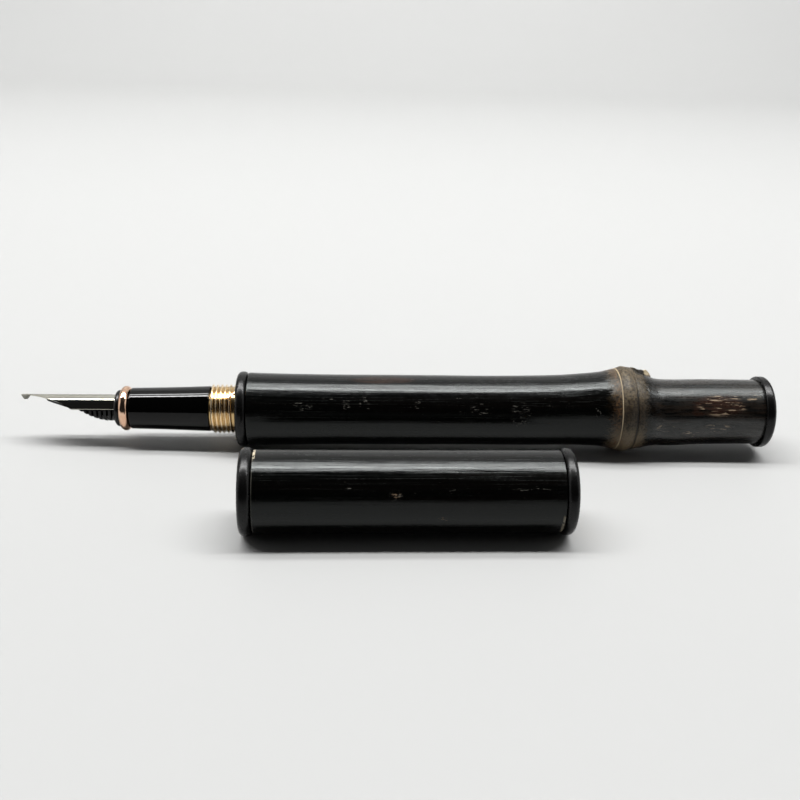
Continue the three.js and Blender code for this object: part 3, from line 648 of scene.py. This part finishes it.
def arc(along, radius, size, start, end):
    """Points of an arc in an outline, in degrees from +X towards the outside."""
    angles = [math.radians(start + (end - start) * i / ARC_STEPS) for i in range(ARC_STEPS + 1)]
    return [(along + size * math.cos(a), radius + size * math.sin(a)) for a in angles]


def spun(outline, steps):
    """A bmesh turned about X from (along, radius) points, closed on the axis or on themselves."""
    mesh = bmesh.new()
    points = [mesh.verts.new((along, 0, radius)) for along, radius in outline]
    edges = [mesh.edges.new(pair) for pair in zip(points, points[1:])]
    on_axis = outline[0][1] == 0 and outline[-1][1] == 0
    if not on_axis:
        edges.append(mesh.edges.new((points[-1], points[0])))
    bmesh.ops.spin(
        mesh, geom=points + edges, cent=(0, 0, 0), axis=(1, 0, 0),
        angle=2 * math.pi, steps=steps, use_merge=True,
    )
    bmesh.ops.remove_doubles(mesh, verts=mesh.verts, dist=SAME_POINT)
    bmesh.ops.recalc_face_normals(mesh, faces=mesh.faces)
    return mesh


def added(name, mesh):
    """Makes a bmesh an object of the scene."""
    data = bpy.data.meshes.new(name)
    mesh.to_mesh(data)
    mesh.free()
    piece = bpy.data.objects.new(name, data)
    bpy.context.scene.collection.objects.link(piece)
    return piece


def finished(name, mesh, axes, material, body, nodes, crease=CREASE):
    """Puts a bmesh in the row's frame as a smooth-shaded object that stands for CAD nodes."""
    bmesh.ops.transform(mesh, matrix=axes, verts=mesh.verts)
    piece = added(name, mesh)
    piece.data.shade_smooth()
    piece.data.set_sharp_from_angle(angle=math.radians(crease))
    piece.data.materials.append(material)
    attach(piece, body)
    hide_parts(*nodes)
    return piece


def apply_modifiers(piece):
    """Bakes the piece's modifiers into its mesh."""
    bpy.context.view_layer.update()
    shaped = piece.evaluated_get(bpy.context.evaluated_depsgraph_get())
    data = bpy.data.meshes.new_from_object(shaped)
    piece.modifiers.clear()
    piece.data = data


def smooth_curve(points, steps):
    """A curve that runs through all its (along, radius) points and is rounded between them."""
    ends = [points[0], *points, points[-1]]
    line = []
    for four in zip(ends, ends[1:], ends[2:], ends[3:]):
        for i in range(steps):
            t = i / steps
            weights = (
                -0.5 * t + t * t - 0.5 * t**3,
                1 - 2.5 * t * t + 1.5 * t**3,
                0.5 * t + 2 * t * t - 1.5 * t**3,
                -0.5 * t * t + 0.5 * t**3,
            )
            line.append(tuple(
                sum(weight * point[k] for weight, point in zip(weights, four)) for k in (0, 1)
            ))
    return [*line, points[-1]]


# The bamboo barrel

BARREL_START, BARREL_END, _ = span("barrel_culm", PEN)
BARREL_BORE = 4.9
BARREL_BORE_DEPTH = 68
SEPTUM = 5
REAR_CAVITY = 4.4

# Its outside: a slow waist, the sheath scar, the node's ridge, the groove and the rear joint
NODE_AT = 78.3
WAIST = (
    (BARREL_START, 7.46), (BARREL_START + 0.5, 7.49), (4.0, 7.41), (11.0, 7.3), (19.6, 7.205),
    (35.2, 7.2), (48.5, 7.18), (60.3, 7.247), (65.9, 7.314), (70.2, 7.497), (72.0, 7.614),
    (74.0, 7.815), (76.1, 8.24),
)
WAIST_STEPS = 12
SCAR = (
    (76.45, 8.33), (76.6, 8.29), (76.7, 8.3), (76.78, 8.4), (76.85, 8.46), (76.95, 8.44),
    (77.05, 8.42),
)
RIDGE_AND_JOINT = (
    (77.2, 8.55), (77.6, 8.72), (78.0, 8.82), (78.4, 8.85), (78.8, 8.76), (79.2, 8.62),
    (79.6, 8.5), (79.8, 8.4), (79.93, 8.24), (80.06, 8.22), (80.25, 8.3), (80.6, 8.24),
    (81.3, 8.05), (83.3, 7.44), (85.3, 7.0), (88.1, 6.91), (97.0, 6.79),
    (BARREL_END - 0.4, 6.71), (BARREL_END, 6.68),
)
RIDGE_STEPS = 8

# How the culm stands off the pen's axis: up at the node, a little down behind it
NODE_LEAN, LEAN_IN_FRONT, LEAN_BEHIND = 0.5, 13.0, 4.5
JOINT_SAG, SAG_AT, SAG_SPREAD = 0.22, NODE_AT + 9.5, 5.0

# The bud, its cushion and the small hollow in front of it; angles are in radians from the top
BUD_AT = 82.9
BUD_REACH = 8.6
BUD_TOP = 1.43
BUD_FOOT = 2.1
BUD_ROOT = 5.6
BUD_NEAR = 6
BUD_CUSHION = 0.62
BUD_CUSHION_BEFORE, BUD_CUSHION_LENGTH, BUD_CUSHION_ANGLE = 1.7, 1.7, 0.4
HOLLOW_AT, HOLLOW_LENGTH = 81.4, 1.35
HOLLOW_ANGLE, HOLLOW_WIDTH = -0.26, 0.17
HOLLOW_DEPTH, HOLLOW_STEEPNESS = 1.15, 1.7

# Unevenness of the skin: how quickly it changes along and round the culm, and how strong it is
SLOW_ALONG, SLOW_ROUND = 0.03, 0.16
FINER, FINE_SHARE = 5.0, 0.3
RAGGED_NEAR, RAGGED_ALONG, RAGGED_DEPTH = 4, 1.1, 0.05
BARREL_SEED, BARREL_SWELL = 0.0, 0.04


def lean(along):
    """How far the culm stands above the pen's axis."""
    behind = along - NODE_AT
    spread = LEAN_IN_FRONT if behind < 0 else LEAN_BEHIND
    sag = JOINT_SAG * math.exp(-(((along - SAG_AT) / SAG_SPREAD) ** 2))
    return NODE_LEAN * math.exp(-((behind / spread) ** 2)) - sag


def cushion(along, angle):
    """The rise of the culm round the bud."""
    beside = angle / BUD_CUSHION_ANGLE
    before = (along - BUD_AT + BUD_CUSHION_BEFORE) / BUD_CUSHION_LENGTH
    return BUD_CUSHION * math.exp(-(beside ** 2) - before ** 2)


def dent(along, angle):
    """The depth of the small hollow in front of the bud."""
    lengthwise = (along - HOLLOW_AT) / HOLLOW_LENGTH
    sideways = (angle - HOLLOW_ANGLE) / HOLLOW_WIDTH
    inside = 1 - lengthwise ** 2 - sideways ** 2
    return HOLLOW_DEPTH * min(max(HOLLOW_STEEPNESS * inside, 0), 1)


def weathered(mesh, bore, seed, swell, node_at=None):
    """Slow and fine unevenness of a culm's outside; node_at adds the node, bud's seat and lean."""
    for vertex in mesh.verts:
        along, across, up = vertex.co
        radius = math.hypot(across, up)
        if radius < bore * 1.1:
            continue
        place = Vector((along * SLOW_ALONG + seed, across * SLOW_ROUND, up * SLOW_ROUND))
        rise = swell * noise.noise(place) + FINE_SHARE * swell * noise.noise(place * FINER)
        if node_at is not None and abs(along - BUD_AT) < BUD_NEAR and up > 0:
            angle = math.atan2(across, up)
            rise += cushion(along, angle)
            rise -= dent(along, angle)
        if node_at is not None and abs(along - node_at) < RAGGED_NEAR:
            rise += RAGGED_DEPTH * noise.noise(Vector((along * RAGGED_ALONG, across, up)))
        vertex.co.y *= 1 + rise / radius
        vertex.co.z *= 1 + rise / radius
        if node_at is not None:
            vertex.co.z += lean(along)


def barrel():
    septum_front = BARREL_START + BARREL_BORE_DEPTH
    septum_rear = septum_front + SEPTUM
    mesh = spun([
        (septum_front, 0), (septum_front, BARREL_BORE), (BARREL_START, BARREL_BORE),
        *smooth_curve(WAIST, WAIST_STEPS), *SCAR, *smooth_curve(RIDGE_AND_JOINT, RIDGE_STEPS),
        (BARREL_END, REAR_CAVITY), (septum_rear, REAR_CAVITY), (septum_rear, 0),
    ], CULM_STEPS)
    weathered(mesh, BARREL_BORE, BARREL_SEED, BARREL_SWELL, NODE_AT)
    material = bamboo("black_bamboo_barrel", PEN, BARREL_SCRATCHED, node_at=NODE_AT)
    finished("bamboo_barrel", mesh, PEN, material, "barrel", ["barrel_culm"])


# The bud's husk and its hollow top, as (below the top, radius)
BUD_SIDE = ((1.0, BUD_TOP + 0.15), (0.1, BUD_TOP))
BUD_MOUTH = ((0, BUD_TOP - 0.12), (0.02, BUD_TOP - 0.45), (0.5, BUD_TOP - 0.7), (0.9, 0))
BUD_STEPS = 48
BREAK_DEPTH = 1.2
BREAK_RAGGED, BREAK_PACE = 0.22, 2.3
BREAK_SLANT, BREAK_SLANT_FROM = 0.55, 0.2


def bud():
    """The bud that once grew at the node: a hollow stub, broken off slantwise."""
    side = [(BUD_REACH - below, radius) for below, radius in BUD_SIDE]
    mouth = [(BUD_REACH - below, radius) for below, radius in BUD_MOUTH]
    husk = smooth_curve([(BUD_ROOT, BUD_FOOT), *side], 10)
    mesh = spun([(BUD_ROOT, 0), *husk, *mouth], BUD_STEPS)
    turn = Matrix.Translation((BUD_AT, 0, 0)) @ Matrix.Rotation(math.radians(-90), 4, "Y")
    bmesh.ops.transform(mesh, matrix=turn, verts=mesh.verts)
    for vertex in mesh.verts:
        height = vertex.co.z - (BUD_REACH - BREAK_DEPTH)
        if height > 0:
            rear = max(vertex.co.x - BUD_AT - BREAK_SLANT_FROM, 0)
            ragged = BREAK_RAGGED * noise.noise(vertex.co * BREAK_PACE)
            vertex.co.z += (ragged - BREAK_SLANT * rear) * min(height, 1)
    bmesh.ops.recalc_face_normals(mesh, faces=mesh.faces)
    finished("broken_bud", mesh, PEN, bud_husk(), "barrel", ["barrel_culm"])


# The cap

CAP_START, CAP_END, CAP_RADIUS = span("cap_culm", CAP)
CAP_BORE = 5.6
CAP_CURVE_STEPS = 20
CAP_SEED, CAP_SWELL = 7.0, 0.035


def cap_tube():
    """The cap's culm, a few hundredths slimmer in its middle and softened at both ends."""
    length = CAP_END - CAP_START
    outside = smooth_curve([
        (CAP_START, CAP_RADIUS - 0.03), (CAP_START + 0.4, CAP_RADIUS),
        (CAP_START + 3, CAP_RADIUS - 0.01), (CAP_START + 0.35 * length, CAP_RADIUS - 0.06),
        (CAP_START + 0.65 * length, CAP_RADIUS - 0.04), (CAP_END - 3, CAP_RADIUS - 0.01),
        (CAP_END - 0.4, CAP_RADIUS), (CAP_END, CAP_RADIUS - 0.03),
    ], CAP_CURVE_STEPS)
    mesh = spun([(CAP_START, CAP_BORE), *outside, (CAP_END, CAP_BORE)], CULM_STEPS)
    weathered(mesh, CAP_BORE, CAP_SEED, CAP_SWELL)
    ends = (CAP_START, CAP_END)
    material = bamboo("black_bamboo_cap", CAP, CAP_SCRATCHED, ends=ends, sheen=0.11)
    finished("bamboo_cap", mesh, CAP, material, "cap", ["cap_culm"])


# Rings and end discs

RING_ROUNDING = 0.95
CAP_DISC_WIDTH = 2.3
END_DISC_WIDTH = 2.1
END_DISC_INNER_ROUNDING = 0.35
SPIGOT_PLAY = 0.12


def shoulder(edge, radius, rounding, front):
    """The rounded corner of a ring or disc, at its front or its back edge."""
    if front:
        return arc(edge + rounding, radius - rounding, rounding, 180, 90)
    return arc(edge - rounding, radius - rounding, rounding, 90, 0)


def bead(start, end, outside, inside, rounding):
    """A ring's outline, rounded in front and behind."""
    return [
        (start, inside),
        *shoulder(start, outside, rounding, True), *shoulder(end, outside, rounding, False),
        (end, inside),
    ]


def rings_and_discs():
    black = lacquer("black_lacquer_pen", PEN)
    black_cap = lacquer("black_lacquer_cap", CAP)
    for name, node, axes, bore, finish, body in (
        ("front_ring", "barrel_front_ring", PEN, BARREL_BORE, black, "barrel"),
        ("mouth_ring", "cap_mouth_ring", CAP, CAP_BORE, black_cap, "cap"),
    ):
        mesh = spun(bead(*span(node, axes), bore, RING_ROUNDING), TURNED_STEPS)
        finished(name, mesh, axes, finish, body, [node])
    start, end, radius = span("cap_end_disc", CAP)
    face, spigot = start + CAP_DISC_WIDTH, CAP_BORE - SPIGOT_PLAY
    mesh = spun([
        (start, 0), *shoulder(start, radius, RING_ROUNDING, True),
        *shoulder(face, radius, RING_ROUNDING, False), (face, spigot), (end, spigot), (end, 0),
    ], TURNED_STEPS)
    finished("cap_end", mesh, CAP, black_cap, "cap", ["cap_end_disc"])
    start, end, radius = span("barrel_end_disc", PEN)
    face, spigot = end - END_DISC_WIDTH, REAR_CAVITY - SPIGOT_PLAY
    mesh = spun([
        (start, 0), (start, spigot), (face, spigot),
        *shoulder(face, radius, END_DISC_INNER_ROUNDING, True),
        *shoulder(end, radius, RING_ROUNDING, False), (end, 0),
    ], TURNED_STEPS)
    finished("barrel_end", mesh, PEN, black, "barrel", ["barrel_end_disc"])


# The section and its trim ring

SECTION_BORE = 3.3
GRIP_FRONT_RADIUS = 4.2
GRIP_FRONT_ROUNDING, GRIP_BACK_ROUNDING = 0.25, 0.2
GRIP_TAPER = ((4, 4.28), (8.2, 4.38), (12.5, 4.52))
GRIP_SOCKET_RADIUS, GRIP_SOCKET_DEPTH = 4.02, 5.12
TRIM_RING_ROUNDING = 0.93
ROSE_GOLD, ROSE_GOLD_DARK = (0.88, 0.6, 0.43), (0.76, 0.47, 0.32)


def section_pieces():
    start, end, radius = span("section_grip", PEN)
    polished = lacquer(
        "polished_black_section", PEN, tone=0.0004, sheen=0.05, unevenness=0.02, wear=0.03,
    )
    socket_floor = end - GRIP_SOCKET_DEPTH
    mesh = spun([
        (start, SECTION_BORE), *shoulder(start, GRIP_FRONT_RADIUS, GRIP_FRONT_ROUNDING, True),
        *((start + behind, width) for behind, width in GRIP_TAPER),
        *shoulder(end, radius, GRIP_BACK_ROUNDING, False), (end, GRIP_SOCKET_RADIUS),
        (socket_floor, GRIP_SOCKET_RADIUS), (socket_floor, SECTION_BORE),
    ], TURNED_STEPS)
    finished("section", mesh, PEN, polished, "section", ["section_grip"])
    rose = metal("rose_gold_plate", PEN, ROSE_GOLD, ROSE_GOLD_DARK, sheen=0.12)
    ring = bead(*span("section_trim_ring", PEN), SECTION_BORE, TRIM_RING_ROUNDING)
    mesh = spun(ring, TURNED_STEPS)
    finished("trim_ring", mesh, PEN, rose, "section", ["section_trim_ring"])


# The gold bushing and its thread

THREAD_PITCH, THREAD_DEPTH = 0.9, 0.42
THREAD_BEGINS, THREAD_SPARED = 0.35, 0.75
THREAD_STEPS = 96
THREAD_SECTION = (
    (-0.36, -0.06), (-0.24, 0.14), (-0.13, 0.34), (-0.05, THREAD_DEPTH), (0.05, THREAD_DEPTH),
    (0.13, 0.34), (0.24, 0.14), (0.36, -0.06),
)
THREAD_CREASE = 50
BUSHING_BORE, BUSHING_TAIL = 4.05, 4.78
BUSHING_CHAMFER, BUSHING_GAP = 0.1, 0.02
BUSHING_STEPS = 128
GOLD, GOLD_DARK = (1.0, 0.83, 0.58), (0.94, 0.74, 0.47)
GOLD_DIRT_BOTTOM, GOLD_DIRT_FLANK, GOLD_DIRT = 0.01, 0.13, (0.58, 0.4, 0.19)


def thread_bushing():
    """The gold bushing: a plain core with one unbroken helical ridge wound on it."""
    start, end, radius = span("cap_thread_bushing", PEN)
    ring_face = span("barrel_front_ring", PEN)[0]
    core = radius - THREAD_DEPTH
    core_end = ring_face - BUSHING_GAP
    mesh = spun([
        (start, BUSHING_BORE), (start, core - BUSHING_CHAMFER), (start + BUSHING_CHAMFER, core),
        (core_end, core), (core_end, BUSHING_TAIL), (end, BUSHING_TAIL), (end, BUSHING_BORE),
    ], BUSHING_STEPS)
    turns = (ring_face - start - THREAD_SPARED) / THREAD_PITCH
    rib = mesh.faces.new([
        mesh.verts.new((start + THREAD_BEGINS + along, 0, core + height))
        for along, height in THREAD_SECTION
    ])
    bmesh.ops.spin(
        mesh, geom=[rib, *rib.edges, *rib.verts], cent=(0, 0, 0), axis=(1, 0, 0),
        dvec=(THREAD_PITCH / THREAD_STEPS, 0, 0), angle=2 * math.pi * turns,
        steps=int(THREAD_STEPS * turns),
    )
    bmesh.ops.recalc_face_normals(mesh, faces=mesh.faces)
    dirt = (core + GOLD_DIRT_BOTTOM, core + GOLD_DIRT_FLANK, GOLD_DIRT)
    gold = metal("gold_plate", PEN, GOLD, GOLD_DARK, sheen=0.16, grain=(6.0, 1.0, 1.0), groove=dirt)
    nodes = ["cap_thread_bushing"]
    finished("gold_thread", mesh, PEN, gold, "barrel", nodes, THREAD_CREASE)


# The nib

LIP_FRONT = span("nib_housing", PEN)[0]
NIB_RADIUS = 2.83
NIB_THICKNESS = 0.28
NIB_WING = math.radians(95)
NIB_TAIL = 7.0
NIB_SHOULDER = 8.8
NIB_TAPER = LIP_FRONT - NIB_SHOULDER - span("nib", PEN)[0]
NIB_LENGTH = NIB_TAIL + NIB_SHOULDER + NIB_TAPER
NIB_TIP_HALF = 0.75
NIB_NARROWING = 0.82
NIB_ROWS, NIB_COLUMNS = 90, 56
NIB_CROWDING = 1.5
NIB_EDGE = 0.05
NIB_EDGE_ANGLE = 50
BREATHER = 0.65
BREATHER_AT = LIP_FRONT - NIB_SHOULDER - 0.6
SLIT = 0.07
SLIT_END = LIP_FRONT - NIB_SHOULDER - NIB_TAPER - 1
CUTTER_DEPTH = 4
SLIT_CUTTER_HEIGHT = 2
NIB_STEEL, NIB_STEEL_DARK = (0.56, 0.545, 0.475), (0.49, 0.477, 0.41)

# The bent sheet's section, as (distance below its top, how steeply it falls there in degrees). The
# flanks stay nearly flat, turn down sharply, and end in a fine lip.
NIB_FALL = ((0.38, 30), (0.85, 32.5), (1.2, 62), (3.0, 92), (3.04, 54), (3.2, 50))
NIB_FALL_STEP = 0.01


def nib_half_angle(ahead):
    """How far the sheet's edge is bent round from the top, at a distance in front of the lip."""
    t = min(max((ahead - NIB_SHOULDER) / NIB_TAPER, 0), 1)
    return NIB_WING + (NIB_TIP_HALF / NIB_RADIUS - NIB_WING) * t**NIB_NARROWING


def nib_half_widths():
    """The sheet's half width at every NIB_FALL_STEP below its top, round before NIB_FALL."""
    first_drop, first_angle = NIB_FALL[0]
    round_radius = first_drop / (1 - math.cos(math.radians(first_angle)))
    widths = []
    for i in range(int(NIB_FALL[-1][0] / NIB_FALL_STEP) + 1):
        drop = i * NIB_FALL_STEP
        if drop <= first_drop:
            widths.append(math.sqrt(2 * round_radius * drop - drop * drop))
            continue
        for (low, start), (high, end) in zip(NIB_FALL, NIB_FALL[1:]):
            if low <= drop <= high:
                angle = start + (end - start) * (drop - low) / (high - low)
        widths.append(widths[-1] + NIB_FALL_STEP / math.tan(math.radians(angle)))
    return widths


def cut_away(piece, meshes):
    """Cuts bmeshes out of a piece of the pen."""
    tools = []
    for mesh in meshes:
        bmesh.ops.transform(mesh, matrix=PEN, verts=mesh.verts)
        tool = added("cutter", mesh)
        tools.append(tool)
        cut = piece.modifiers.new("cut", "BOOLEAN")
        cut.operation = "DIFFERENCE"
        cut.solver = "EXACT"
        cut.object = tool
    apply_modifiers(piece)
    for tool in tools:
        bpy.data.objects.remove(tool)


def bent_sheet():
    """The nib's sheet: a flat grid bent round the feed, then given its thickness."""
    mesh = bmesh.new()
    widths = nib_half_widths()
    bmesh.ops.create_grid(mesh, x_segments=NIB_ROWS, y_segments=NIB_COLUMNS, size=1)
    for vertex in mesh.verts:
        ahead = -NIB_TAIL + NIB_LENGTH * (vertex.co.x + 1) / 2
        side = math.copysign(1, vertex.co.y)
        share = 1 - (1 - abs(vertex.co.y)) ** NIB_CROWDING
        drop = NIB_RADIUS * (1 - math.cos(nib_half_angle(ahead) * share))
        below, between = divmod(drop / NIB_FALL_STEP, 1)
        near, far = widths[int(below):int(below) + 2]
        half_width = near + (far - near) * between
        vertex.co = (LIP_FRONT - ahead, side * half_width, NIB_RADIUS - drop)
    bmesh.ops.recalc_face_normals(mesh, faces=mesh.faces)
    top = max(mesh.faces, key=lambda face: face.calc_center_median().z)
    if top.normal.z < 0:
        bmesh.ops.reverse_faces(mesh, faces=mesh.faces)
    bmesh.ops.solidify(mesh, geom=mesh.faces[:], thickness=NIB_THICKNESS)
    bmesh.ops.recalc_face_normals(mesh, faces=mesh.faces)
    return mesh


def nib():
    """The nib: the bent sheet, pierced by the breather hole, slit, and worn at its edges."""
    steel = metal(
        "nib_steel", PEN, NIB_STEEL, NIB_STEEL_DARK,
        sheen=0.05, grain=(0.4, 7.0, 7.0), depth=0.0025,
    )
    piece = finished("nib_sheet", bent_sheet(), PEN, steel, "section", ["nib"])
    hole = bmesh.new()
    bmesh.ops.create_cone(
        hole, cap_ends=True, segments=32, radius1=BREATHER, radius2=BREATHER, depth=CUTTER_DEPTH,
        matrix=Matrix.Translation((BREATHER_AT, 0, NIB_RADIUS)),
    )
    slit = bmesh.new()
    place = Matrix.Translation(((SLIT_END + BREATHER_AT) / 2, 0, NIB_RADIUS))
    size = Matrix.Diagonal((BREATHER_AT - SLIT_END, SLIT, SLIT_CUTTER_HEIGHT, 1))
    bmesh.ops.create_cube(slit, size=1, matrix=place @ size)
    cut_away(piece, [hole, slit])
    rounding = piece.modifiers.new("worn_edges", "BEVEL")
    rounding.width = NIB_EDGE * MM
    rounding.segments = 2
    rounding.limit_method = "ANGLE"
    rounding.angle_limit = math.radians(NIB_EDGE_ANGLE)
    apply_modifiers(piece)
    piece.data.set_sharp_from_angle(angle=math.radians(CREASE))


# The feed, the writing pellet and the collar that holds nib and feed

FEED_DROP, FEED_DROP_FROM, FEED_DROP_OVER = 0.62, -34.2, 3.2
FEED_EDGE, FEED_FLATNESS = 0.045, 4
PELLET_EDGE, PELLET_FLATNESS = 0.08, 1
LIP_ROUNDING, LIP_LENGTH = 0.7, 0.9
COLLAR_BORE, COLLAR_BORE_DEPTH = 2.95, 9
COLLAR_RADIUS, COLLAR_LENGTH = 3.18, 14
NIPPLE_RADIUS, NIPPLE_BORE = 1.6, 0.75
COLLAR_STEPS = 96


def lower_feed_tip(mesh):
    """Lets the feed's thin front show under the nib's wings."""
    for vertex in mesh.verts:
        share = min(max((FEED_DROP_FROM - vertex.co.x) / FEED_DROP_OVER, 0), 1)
        vertex.co.z -= FEED_DROP * share * share * (3 - 2 * share)


def refined(name, node, material, bevel_mm, flatness, reshape=None):
    """A CAD node's own shape: its flat faces merged, its sharp edges broken by a fine bevel."""
    mesh = bmesh.new()
    mesh.from_mesh(frame["nodes"][node].data)
    bmesh.ops.transform(mesh, matrix=PEN.inverted(), verts=mesh.verts)
    bmesh.ops.remove_doubles(mesh, verts=mesh.verts, dist=SAME_CORNER)
    bmesh.ops.dissolve_limit(
        mesh, angle_limit=math.radians(flatness), verts=mesh.verts, edges=mesh.edges,
    )
    if reshape is not None:
        reshape(mesh)
    sharp = [
        edge for edge in mesh.edges
        if edge.is_manifold and edge.calc_face_angle() > math.radians(CREASE)
    ]
    bmesh.ops.bevel(
        mesh, geom=sharp, offset=bevel_mm, offset_type="OFFSET", segments=2, profile=0.5,
        affect="EDGES", material=-1, clamp_overlap=True,
    )
    finished(name, mesh, PEN, material, "section", [node])


def ink_pieces():
    ebonite = plastic("black_ebonite", PEN, (0.0008, 0.0008, 0.0008), sheen=0.25, ior=1.35)
    alloy = metal(
        "tip_alloy", PEN, (0.3, 0.295, 0.26), (0.2, 0.195, 0.17),
        sheen=0.45, grain=(4.0, 4.0, 4.0), metallic=0.3,
    )
    refined("feed_comb", "feed", ebonite, FEED_EDGE, FEED_FLATNESS, lower_feed_tip)
    refined("writing_pellet", "nib_tipping", alloy, PELLET_EDGE, PELLET_FLATNESS)
    start, end, radius = span("nib_housing", PEN)
    lip_back, nipple_root = start + LIP_LENGTH, start + COLLAR_LENGTH
    bore_floor = start + COLLAR_BORE_DEPTH
    mesh = spun([
        (start, COLLAR_BORE), *shoulder(start, radius, LIP_ROUNDING, True), (lip_back, radius),
        (lip_back, COLLAR_RADIUS), (nipple_root, COLLAR_RADIUS), (nipple_root, NIPPLE_RADIUS),
        (end, NIPPLE_RADIUS), (end, NIPPLE_BORE), (bore_floor, NIPPLE_BORE),
        (bore_floor, COLLAR_BORE),
    ], COLLAR_STEPS)
    finished("nib_collar", mesh, PEN, ebonite, "section", ["nib_housing"])


def plain_finishes():
    """Finishes for the CAD nodes that stay as they are."""
    brass = metal("inner_brass", PEN, (0.85, 0.62, 0.33), (0.7, 0.47, 0.22), sheen=0.25)
    black = plastic("converter_black", PEN, (0.006, 0.006, 0.006), sheen=0.35)
    nickel = metal("nickel_plate", PEN, (0.75, 0.75, 0.74), (0.6, 0.6, 0.6), sheen=0.14)
    seal = plastic("piston_rubber", PEN, (0.01, 0.01, 0.01), sheen=0.6)
    clear = clear_plastic("clear_tube", PEN)
    cap_brass = metal("cap_thread_brass", CAP, (0.9, 0.66, 0.36), (0.75, 0.5, 0.24), sheen=0.22)
    liner = plastic("liner_black", CAP, (0.01, 0.01, 0.01), sheen=0.45)
    for node, material in (
        ("section_sleeve", brass), ("converter_tube", clear), ("converter_collar", nickel),
        ("converter_piston", seal), ("converter_rod", nickel), ("converter_knob", black),
        ("cap_thread_insert", cap_brass), ("cap_liner", liner),
    ):
        data = frame["nodes"][node].data
        data.materials.clear()
        data.materials.append(material)


barrel()
bud()
cap_tube()
rings_and_discs()
section_pieces()
thread_bushing()
nib()
ink_pieces()
plain_finishes()


# Floor and light, in metres

PAPER = (0.295, 0.296, 0.292)
PAPER_CLOUD = 0.985
PAPER_CLOUD_SCALE = 9.0
PAPER_ROUGHNESS = 0.6
FLOOR_NEAR, WALL_TOP, HALF_WIDTH = -0.8, 1.5, 1.9
BEND_AT, BEND_RADIUS = 0.75, 0.35
BEND_STEPS, BEND_STEP = 15, 6


def pale_paper():
    material = bpy.data.materials.new("pale_paper")
    material.use_nodes = True
    graph = Graph(material.node_tree)
    shader = material.node_tree.nodes["Principled BSDF"]
    spot = graph.add("ShaderNodeTexCoord").outputs["Object"]
    cloud = graph.noise(spot, PAPER_CLOUD_SCALE, 4.0)
    low = tuple(part * PAPER_CLOUD for part in PAPER)
    graph.feed(shader.inputs["Base Color"], graph.blend(cloud, low, PAPER))
    shader.inputs["Roughness"].default_value = PAPER_ROUGHNESS
    return material


def floor_and_backdrop():
    """A pale sweep: a wide floor that curves up into a wall far behind."""
    mesh = bmesh.new()
    curve = [
        (BEND_AT + BEND_RADIUS * math.sin(a), BEND_RADIUS - BEND_RADIUS * math.cos(a))
        for a in (math.radians(BEND_STEP * i) for i in range(BEND_STEPS + 1))
    ]
    line = [(FLOOR_NEAR, 0.0), *curve, (BEND_AT + BEND_RADIUS, WALL_TOP)]
    points = [mesh.verts.new((-HALF_WIDTH, y, z)) for y, z in line]
    edges = [mesh.edges.new(pair) for pair in zip(points, points[1:])]
    grown = bmesh.ops.extrude_edge_only(mesh, edges=edges)
    moved = [item for item in grown["geom"] if isinstance(item, bmesh.types.BMVert)]
    bmesh.ops.translate(mesh, verts=moved, vec=(2 * HALF_WIDTH, 0, 0))
    sweep = added("sweep", mesh)
    sweep.data.shade_smooth()
    sweep.data.materials.append(pale_paper())


def softbox(name, place, target, size, watts):
    data = bpy.data.lights.new(name, "AREA")
    data.shape = "RECTANGLE"
    data.size, data.size_y = size
    data.energy = watts
    light = bpy.data.objects.new(name, data)
    light.location = place
    light.rotation_euler = (Vector(target) - Vector(place)).to_track_quat("-Z", "Y").to_euler()
    bpy.context.scene.collection.objects.link(light)


def lights():
    """A narrow lamp above the pen inside a pale tent; the front of the tent stays dark."""
    softbox("overhead", (0.0, 0.03, 0.8), (0, 0, 0), (1.6, 0.08), 16)
    softbox("tent_roof", (0.0, 0.85, 1.5), (0, 0.85, 0), (3.4, 1.3), 12.5)
    softbox("wall_wash", (0.0, 0.3, 1.1), (0, 1.1, 0.45), (1.6, 0.3), 30)
    for side in (-1, 1):
        softbox("tent_side", (1.3 * side, 0.1, 0.5), (0, 0, 0.1), (1.3, 1.0), 3.2)
    bpy.context.scene.view_settings.view_transform = "Standard"


DIM_ROOM = (0.95, 0.97, 1.0, 1)
DIM_STRENGTH = 0.015
PALE_ROOM = (0.62, 0.625, 0.62, 1)


def room():
    """A dim room that the gloss mirrors, drawn pale where it is seen past the sweep's edge."""
    world = bpy.data.worlds.new("dim_room")
    world.use_nodes = True
    graph = Graph(world.node_tree)
    dim = world.node_tree.nodes["Background"]
    dim.inputs["Color"].default_value = DIM_ROOM
    dim.inputs["Strength"].default_value = DIM_STRENGTH
    pale = graph.add("ShaderNodeBackground", {"Color": PALE_ROOM, "Strength": 1.0})
    seen = graph.add("ShaderNodeLightPath").outputs["Is Camera Ray"]
    both = graph.add("ShaderNodeMixShader", {0: seen, 1: dim.outputs[0], 2: pale.outputs[0]})
    graph.feed(world.node_tree.nodes["World Output"].inputs["Surface"], both.outputs[0])
    bpy.context.scene.world = world


floor_and_backdrop()
lights()
room()
